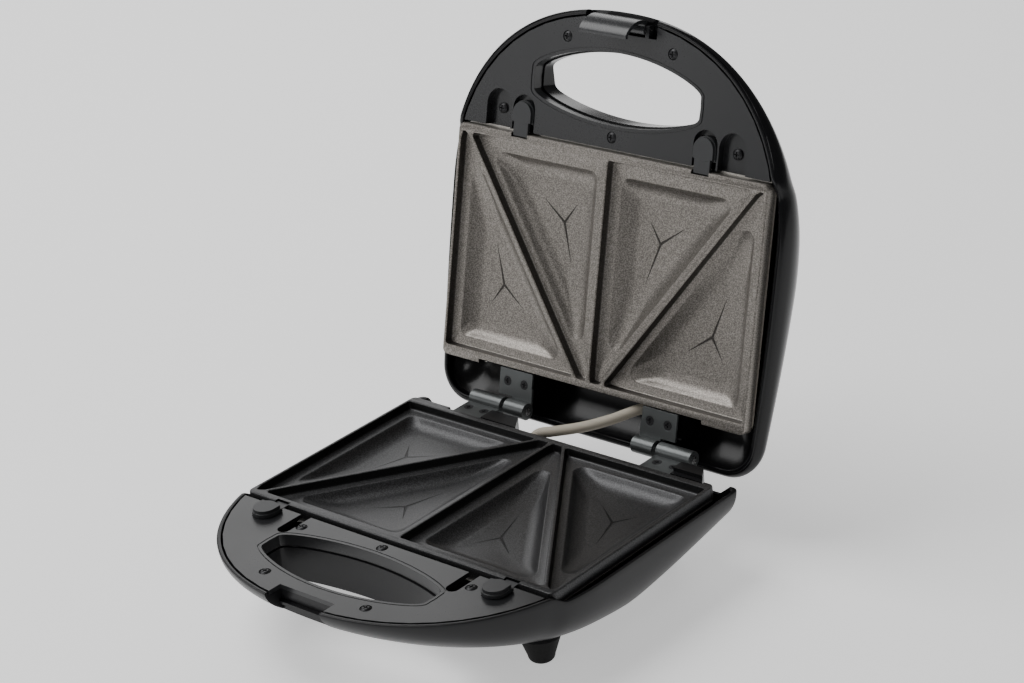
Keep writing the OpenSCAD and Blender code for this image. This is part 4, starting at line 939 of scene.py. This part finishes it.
def non_stick(name, color, pale):
    """Non-stick coating sprayed on cast metal: fine pale and dark flecks over a soft orange peel, with
    painted shade on the ribs' walls and along the creases of the pockets' floors.
    """
    f = Finish(name, color, 0.38, 0.65)
    fleck = f.noise(1500, 2)
    blotch = f.noise(500, 3)
    cloud = f.noise(30, 2)
    speck = f.ramp(fleck, (0.40, 0.0), (0.64, 1.0))
    base = f.mix(cloud, tint(color, 0.9), tint(color, 1.1))
    coords = f.node("ShaderNodeUVMap", {"uv_map": "crease"})
    # 1 on the walls of the ribs, where the second crease coordinate is far below 0; there the coating is
    # darkened as painted shade.
    wall = (0.0 - f.node("ShaderNodeSeparateXYZ", {}, {0: coords}, 1) / 500.0).clamp()
    mixed = f.mix(wall * 0.8, f.mix(speck * 0.6 + blotch * 0.2, base, pale), tint(color, 0.2))
    valley = None
    for reach, bearing in CREASES:
        a = math.radians(bearing)
        along = f.node("ShaderNodeVectorMath", {"operation": "DOT_PRODUCT"},
                       {0: coords, 1: (math.cos(a), math.sin(a), 0)}, "Value")
        across = f.node("ShaderNodeVectorMath", {"operation": "DOT_PRODUCT"},
                        {0: coords, 1: (-math.sin(a), math.cos(a), 0)}, "Value")
        width = (1.0 - (along / reach).clamp()) * 0.75 + 0.1
        gate = f.node("ShaderNodeMath", {"operation": "GREATER_THAN"}, {0: along, 1: -0.2})
        stop = f.node("ShaderNodeMath", {"operation": "LESS_THAN"}, {0: along, 1: reach})
        aside = f.node("ShaderNodeMath", {"operation": "ABSOLUTE"}, {0: across})
        near = ((1.0 - aside / width) * 2.5).clamp() * gate * stop
        valley = near if valley is None else valley.max(near)
    # The creases are darkened as painted shade, besides the dent that the bump gives them
    f.set("Base Color", f.mix(valley * 0.85, mixed, tint(color, 0.12)))
    f.set("Roughness", (fleck - 0.5) * 0.2 + 0.38)
    f.bump(fleck * 0.5 + blotch * 0.5 - valley * 10.0, 0.05, 0.8)
    return f.material


def metal(name, color, rough, grain, depth=0.03):
    """Worked metal: fine grain, and a little unevenness in the polish."""
    f = Finish(name, color, rough, 1.0)
    grainy = f.noise(grain, 3)
    cloud = f.noise(40, 2)
    f.set("Base Color", f.mix(grainy, tint(color, 0.8), tint(color, 1.15)))
    f.set("Roughness", (grainy - 0.5) * 0.18 + (cloud - 0.5) * 0.12 + rough)
    f.bump(grainy, depth, 0.4)
    return f.material


def painted_metal(name, color, rough):
    """Satin paint on steel, with a fine orange peel and a touch brighter in places."""
    f = Finish(name, color, rough, 0.55)
    peel = f.noise(500, 2)
    cloud = f.noise(60, 2)
    f.set("Base Color", f.mix(cloud, tint(color, 0.8), tint(color, 1.25)))
    f.set("Roughness", (peel - 0.5) * 0.14 + rough)
    f.bump(peel, 0.03, 0.5)
    return f.material


def rubber(name, color):
    """Matt rubber with a fine grain and worn patches."""
    f = Finish(name, color, 0.7, Specular_IOR_Level=0.2)
    grain = f.noise(800, 3)
    wear = f.noise(50, 2)
    f.set("Base Color", f.mix(wear, tint(color, 0.7), tint(color, 1.5)))
    f.set("Roughness", (grain - 0.5) * 0.2 + 0.68)
    f.bump(grain, 0.05, 0.6)
    return f.material


def braid(name, color):
    """Woven glass-fibre sleeve: two sets of crossing yarns."""
    f = Finish(name, color, 0.75)
    coords = f.node("ShaderNodeUVMap", {"uv_map": "weave"})
    u = f.node("ShaderNodeSeparateXYZ", {}, {0: coords}, 0)
    v = f.node("ShaderNodeSeparateXYZ", {}, {0: coords}, 1)
    one = f.node("ShaderNodeMath", {"operation": "SINE"}, {0: (u + v) * (2 * math.pi)})
    two = f.node("ShaderNodeMath", {"operation": "SINE"}, {0: (u - v) * (2 * math.pi)})
    weave = one.max(two) * 0.5 + 0.5
    soil = f.noise(300, 3)
    f.set("Base Color", f.mix(weave * 0.8 + soil * 0.2, tint(color, 0.45), tint(color, 1.15)))
    f.bump(weave, 0.12, 0.8)
    return f.material


def clear_tint(name, color):
    """Tinted clear plastic of the lamp lenses."""
    f = Finish(name, color, 0.12, Transmission_Weight=0.6, IOR=1.49)
    ribs = f.noise(700, 1)
    f.set("Roughness", (ribs - 0.5) * 0.08 + 0.12)
    f.bump(ribs, 0.05, 0.3)
    return f.material


def glass(name):
    """Glass of the lamps, a little sooty."""
    f = Finish(name, (0.95, 0.9, 0.8), 0.05, Transmission_Weight=0.9, IOR=1.5)
    soot = f.noise(200, 2)
    f.set("Base Color", f.mix(soot, (0.85, 0.75, 0.6), (0.97, 0.94, 0.9)))
    return f.material


# Stage

# Soft lights: name, place and aim in metres, width, height and strength as a share of the key's setting
LIGHTS = [("key", (-1.1, -0.35, 1.9), (0, 0.03, 0.1), 1.6, 1.6, 4.5),
          ("front", (0.6, -1.9, 1.3), (0, 0.05, 0.1), 0.5, 0.5, 0.35),
          ("left", (-1.4, -1.6, 0.7), (0, 0.05, 0.2), 0.7, 0.9, 0.45),
          ("back", (-1.5, 1.6, 1.0), (0, 0.0, 0.05), 1.7, 1.0, 1.3)]
# The photograph's camera: bearings in degrees, then millimetres
AZIMUTH, ELEVATION, ROLL = 42.58, 24.15, -5.5
AIM = (0, FRONT + 58.78, RIM_Z + 36.17)
DISTANCE, SHIFT_SIDE, SHIFT_UP = 1372.05, 25.27, 45.10


def build_stage(s):
    """The floor, the surroundings, the lights and the camera."""
    f = Finish("pale_floor", (s.floor_tone,) * 3, 0.6, Emission_Strength=s.floor_glow)
    dust = f.noise(6, 2)
    f.set("Base Color", f.mix(dust, (s.floor_tone * 0.985,) * 3, (s.floor_tone,) * 3))
    f.set("Emission Color", (1, 1, 1, 1))
    reach = 2.2
    mesh = bpy.data.meshes.new("floor")
    mesh.from_pydata([(x, y, 0) for y in (-reach, reach) for x in (-reach, reach)], [], [[0, 1, 3, 2]])
    mesh.materials.append(f.material)
    add_object("floor", mesh)
    world = bpy.data.worlds.new("studio")
    bpy.context.scene.world = world
    world.use_nodes = True
    world.node_tree.nodes["Background"].inputs["Color"].default_value = (1, 1, 1, 1)
    world.node_tree.nodes["Background"].inputs["Strength"].default_value = s.sky
    for name, place, aim, width, height, share in LIGHTS:
        soft_light(name, place, aim, width, height, s.key_power * share)
    place_camera(s.lens)


def soft_light(name, place, aim, width, height, power):
    """A rectangular light that looks at its aim."""
    data = bpy.data.lights.new(name, "AREA")
    data.shape = "RECTANGLE"
    data.size, data.size_y, data.energy = width, height, power
    lamp = add_object(name, data)
    lamp.location = place
    lamp.rotation_mode = "QUATERNION"
    lamp.rotation_quaternion = (Vector(aim) - Vector(place)).to_track_quat("-Z", "Y")


def place_camera(lens):
    """The photograph's camera."""
    azimuth, elevation, roll = math.radians(AZIMUTH), math.radians(ELEVATION), math.radians(ROLL)
    level = math.cos(elevation)
    back = Vector((math.sin(azimuth) * level, -math.cos(azimuth) * level, math.sin(elevation)))
    right = (-back).cross(Vector((0, 0, 1))).normalized()
    up = right.cross(-back)
    side = right * math.cos(roll) + up * math.sin(roll)
    top = -right * math.sin(roll) + up * math.cos(roll)
    place = Vector(AIM) + back * DISTANCE + side * SHIFT_SIDE + top * SHIFT_UP
    data = bpy.data.cameras.new("camera")
    data.sensor_width = 36
    data.lens = lens
    data.clip_start, data.clip_end = 0.05, 50
    camera = add_object("camera", data)
    turn = Matrix((side, top, back)).transposed().to_4x4()
    camera.matrix_world = Matrix.Translation(place * MM) @ turn
    bpy.context.scene.camera = camera


# Settings that a user would change

class CasingSettings(bpy.types.PropertyGroup):
    lid_color: bpy.props.FloatVectorProperty(
        name="Lid colour", description="Colour of the glossy lid cover",
        subtype="COLOR", size=3, default=(0.006, 0.006, 0.007), min=0, max=1)
    base_color: bpy.props.FloatVectorProperty(
        name="Base colour", description="Colour of the satin base casing",
        subtype="COLOR", size=3, default=(0.009, 0.009, 0.010), min=0, max=1)
    panel_color: bpy.props.FloatVectorProperty(
        name="Panel colour", description="Colour of the handle panels",
        subtype="COLOR", size=3, default=(0.016, 0.0165, 0.018), min=0, max=1)
    edge_radius: bpy.props.FloatProperty(
        name="Panel edge radius", description="Radius of the panels' broken edges",
        default=0.0004, min=0.0001, max=0.001, unit="LENGTH", precision=5)


# The two plates have one coating; its colour and pale flecks are painted lighter on the upper plate and
# darker on the lower one, as painted light and shade
class PlateSettings(bpy.types.PropertyGroup):
    lower_color: bpy.props.FloatVectorProperty(
        name="Lower plate colour", description="Coating of the lower plate",
        subtype="COLOR", size=3, default=(0.030, 0.030, 0.031), min=0, max=1)
    upper_color: bpy.props.FloatVectorProperty(
        name="Upper plate colour", description="Coating of the upper plate",
        subtype="COLOR", size=3, default=(0.125, 0.113, 0.100), min=0, max=1)


class StageSettings(bpy.types.PropertyGroup):
    floor_tone: bpy.props.FloatProperty(
        name="Floor tone", description="Brightness of the pale floor",
        default=0.9, min=0.1, max=1, subtype="FACTOR")
    floor_glow: bpy.props.FloatProperty(
        name="Floor glow", description="How much the floor shines by itself",
        default=0.6, min=0, max=2)
    sky: bpy.props.FloatProperty(
        name="Surroundings", description="Brightness of the studio all round",
        default=0.12, min=0, max=2)
    key_power: bpy.props.FloatProperty(
        name="Key light", description="Strength of the main soft light",
        default=8.0, min=0, max=200, unit="POWER")
    lens: bpy.props.FloatProperty(
        name="Lens", description="Focal length of the camera in millimetres",
        default=94.73, min=20, max=200)


FINISHES = {}


def make_finishes():
    """All materials by their short names."""
    s, p = bpy.context.scene.toaster_casing, bpy.context.scene.toaster_plates
    FINISHES.update(
        lid=gloss_black("gloss_black_plastic", tuple(s.lid_color), 0.2),
        base=moulded("satin_black_plastic", tuple(s.base_color), 0.34, 1100, 0.03, Specular_IOR_Level=0.28),
        panel=moulded("satin_grey_panel", tuple(s.panel_color), 0.3, 1300, 0.02),
        # Lit and shaded copies of one coating: the upper plate's is painted lighter and the lower plate's
        # darker
        lower=non_stick("non_stick_lower", tuple(p.lower_color), (0.105, 0.105, 0.108)),
        upper=non_stick("non_stick_upper", tuple(p.upper_color), (0.45, 0.42, 0.385)),
        tray=metal("pressed_steel", (0.62, 0.60, 0.56), 0.32, 500),
        element=metal("element_sheath", (0.16, 0.14, 0.12), 0.6, 700, depth=0.06),
        bright=metal("bright_steel", (0.66, 0.66, 0.66), 0.28, 900),
        spring=metal("spring_wire", (0.58, 0.58, 0.6), 0.3, 1200),
        gunmetal=painted_metal("gunmetal_paint", (0.105, 0.112, 0.112), 0.32),
        screw=painted_metal("black_screw", (0.03, 0.03, 0.032), 0.4),
        clip=moulded("clip_moulding", (0.034, 0.035, 0.037), 0.42, 900, 0.03),
        hook=moulded("latch_moulding", (0.030, 0.031, 0.033), 0.28, 1200, 0.02),
        foot=rubber("foot_rubber", (0.006, 0.006, 0.006)),
        gland=rubber("gland_rubber", (0.015, 0.015, 0.015)),
        ceramic=moulded("ceramic", (0.62, 0.60, 0.54), 0.25, 300, 0.02),
        sleeve=braid("woven_sleeve", (0.62, 0.56, 0.46)),
        red=clear_tint("red_lens", (0.6, 0.03, 0.02)),
        green=clear_tint("green_lens", (0.03, 0.45, 0.10)),
        lamp=glass("lamp_glass"),
    )


class TOASTER_OT_casings(bpy.types.Operator):
    """Makes the two casings with their rolled rims and hand holes"""
    bl_idname = "toaster.casings"
    bl_label = "Casings"

    def execute(self, context):
        build_base_shell(FINISHES["base"])
        build_lid_cover(FINISHES["lid"])
        return {"FINISHED"}


class TOASTER_OT_panels(bpy.types.Operator):
    """Makes the handle panels with broken edges"""
    bl_idname = "toaster.panels"
    bl_label = "Handle panels"

    def execute(self, context):
        radius = context.scene.toaster_casing.edge_radius / MM
        rounded_copy("base_handle_panel", FINISHES["panel"], "base", radius)
        rounded_copy("lid_handle_panel", FINISHES["panel"], "lid", radius)
        return {"FINISHED"}


class TOASTER_OT_plates(bpy.types.Operator):
    """Makes the cooking plates with their ribs, pockets and creases"""
    bl_idname = "toaster.plates"
    bl_label = "Cooking plates"

    def execute(self, context):
        build_plate("lower_cooking_plate", "base", FINISHES["lower"], "lower_plate", 97.5)
        build_plate("upper_cooking_plate", "lid", FINISHES["upper"], "upper_plate", 76.8)
        return {"FINISHED"}


class TOASTER_OT_hinges(bpy.types.Operator):
    """Makes the hinge leaves and their screws and pins"""
    bl_idname = "toaster.hinges"
    bl_label = "Hinges"

    def execute(self, context):
        for side in ("left", "right"):
            rounded_copy("base_hinge_leaf_" + side, FINISHES["gunmetal"], "base", 0.3)
            rounded_copy("lid_hinge_leaf_" + side, FINISHES["gunmetal"], "lid", 0.3)
            dress("hinge_pin_" + side, "bright")
        rounded_copy("base_leaf_screws", FINISHES["screw"], "base", 0.12)
        rounded_copy("lid_leaf_screws", FINISHES["screw"], "lid", 0.12)
        return {"FINISHED"}


class TOASTER_OT_catches(bpy.types.Operator):
    """Makes the release clips, the latch hook and their springs"""
    bl_idname = "toaster.catches"
    bl_label = "Clips and latch"

    def execute(self, context):
        for side in ("left", "right"):
            rounded_copy("base_clip_" + side, FINISHES["clip"], "base_catch_" + side, 0.5, 3)
            rounded_copy("lid_clip_" + side, FINISHES["clip"], "lid_catch_" + side, 0.5, 3)
        rounded_copy("latch_hook", FINISHES["hook"], "latch", 0.3, 3)
        build_clip_springs("base", FINISHES["spring"])
        build_clip_springs("lid", FINISHES["spring"])
        dress("latch_spring", "spring")
        dress("latch_pin", "bright")
        return {"FINISHED"}


class TOASTER_OT_heating(bpy.types.Operator):
    """Finishes the heat trays, elements and what holds them"""
    bl_idname = "toaster.heating"
    bl_label = "Heating"

    def execute(self, context):
        rounded_copy("base_heat_tray", FINISHES["tray"], "base", 0.25)
        rounded_copy("lid_heat_tray", FINISHES["tray"], "lid", 0.25)
        for node, finish in (("lower_heating_element", "element"), ("upper_heating_element", "element"),
                             ("base_element_saddles", "spring"), ("lid_element_saddles", "spring"),
                             ("base_tray_screws", "bright"), ("lid_tray_screws", "bright"),
                             ("thermostat", "ceramic"), ("thermal_fuse", "ceramic"),
                             ("fuse_clip", "spring"), ("terminal_block", "ceramic")):
            dress(node, finish)
        return {"FINISHED"}


class TOASTER_OT_small_parts(bpy.types.Operator):
    """Makes the feet, panel screws, gland, lamps and lenses"""
    bl_idname = "toaster.small_parts"
    bl_label = "Feet, screws and lamps"

    def execute(self, context):
        for node, finish, body, radius, segments in (
                ("front_feet", "foot", "base", 0.5, 3), ("rear_feet", "foot", "base", 0.5, 3),
                ("base_panel_screws", "screw", "base", 0.12, 2),
                ("lid_panel_screws", "screw", "lid", 0.12, 2), ("mains_gland", "gland", "base", 0.4, 3),
                ("power_lens", "red", "lid", 0.3, 3), ("ready_lens", "green", "lid", 0.3, 3)):
            rounded_copy(node, FINISHES[finish], body, radius, segments)
        for node in ("power_lamp", "ready_lamp"):
            dress(node, "lamp")
        return {"FINISHED"}


class TOASTER_OT_sleeve(bpy.types.Operator):
    """Makes the woven sleeve that carries the leads over the hinge"""
    bl_idname = "toaster.sleeve"
    bl_label = "Lead sleeve"

    def execute(self, context):
        build_sleeve(FINISHES["sleeve"])
        return {"FINISHED"}


class TOASTER_OT_stage(bpy.types.Operator):
    """Makes the pale floor, the soft lights and the camera"""
    bl_idname = "toaster.stage"
    bl_label = "Stage"

    def execute(self, context):
        build_stage(context.scene.toaster_stage)
        return {"FINISHED"}


class TOASTER_PT_panel(bpy.types.Panel):
    """Lists the steps that dress the toaster"""
    bl_idname = "TOASTER_PT_panel"
    bl_label = "Sandwich toaster"
    bl_space_type = "VIEW_3D"
    bl_region_type = "UI"
    bl_category = "Toaster"

    def draw(self, context):
        scene = context.scene
        for settings in (scene.toaster_casing, scene.toaster_plates, scene.toaster_stage):
            for key in settings.__annotations__:
                self.layout.prop(settings, key)
        for step in STEPS:
            self.layout.operator(step.bl_idname)


STEPS = (TOASTER_OT_stage, TOASTER_OT_casings, TOASTER_OT_panels, TOASTER_OT_plates, TOASTER_OT_hinges,
         TOASTER_OT_catches, TOASTER_OT_heating, TOASTER_OT_small_parts, TOASTER_OT_sleeve)
GROUPS = (CasingSettings, PlateSettings, StageSettings)


def register():
    for cls in GROUPS + STEPS + (TOASTER_PT_panel,):
        bpy.utils.register_class(cls)
    bpy.types.Scene.toaster_casing = bpy.props.PointerProperty(type=CasingSettings)
    bpy.types.Scene.toaster_plates = bpy.props.PointerProperty(type=PlateSettings)
    bpy.types.Scene.toaster_stage = bpy.props.PointerProperty(type=StageSettings)


def unregister():
    for name in ("toaster_casing", "toaster_plates", "toaster_stage"):
        delattr(bpy.types.Scene, name)
    for cls in reversed(GROUPS + STEPS + (TOASTER_PT_panel,)):
        bpy.utils.unregister_class(cls)


def main():
    register()
    make_finishes()
    for step in STEPS:
        group, name = step.bl_idname.split(".")
        getattr(getattr(bpy.ops, group), name)()


if __name__ == "__main__":
    main()
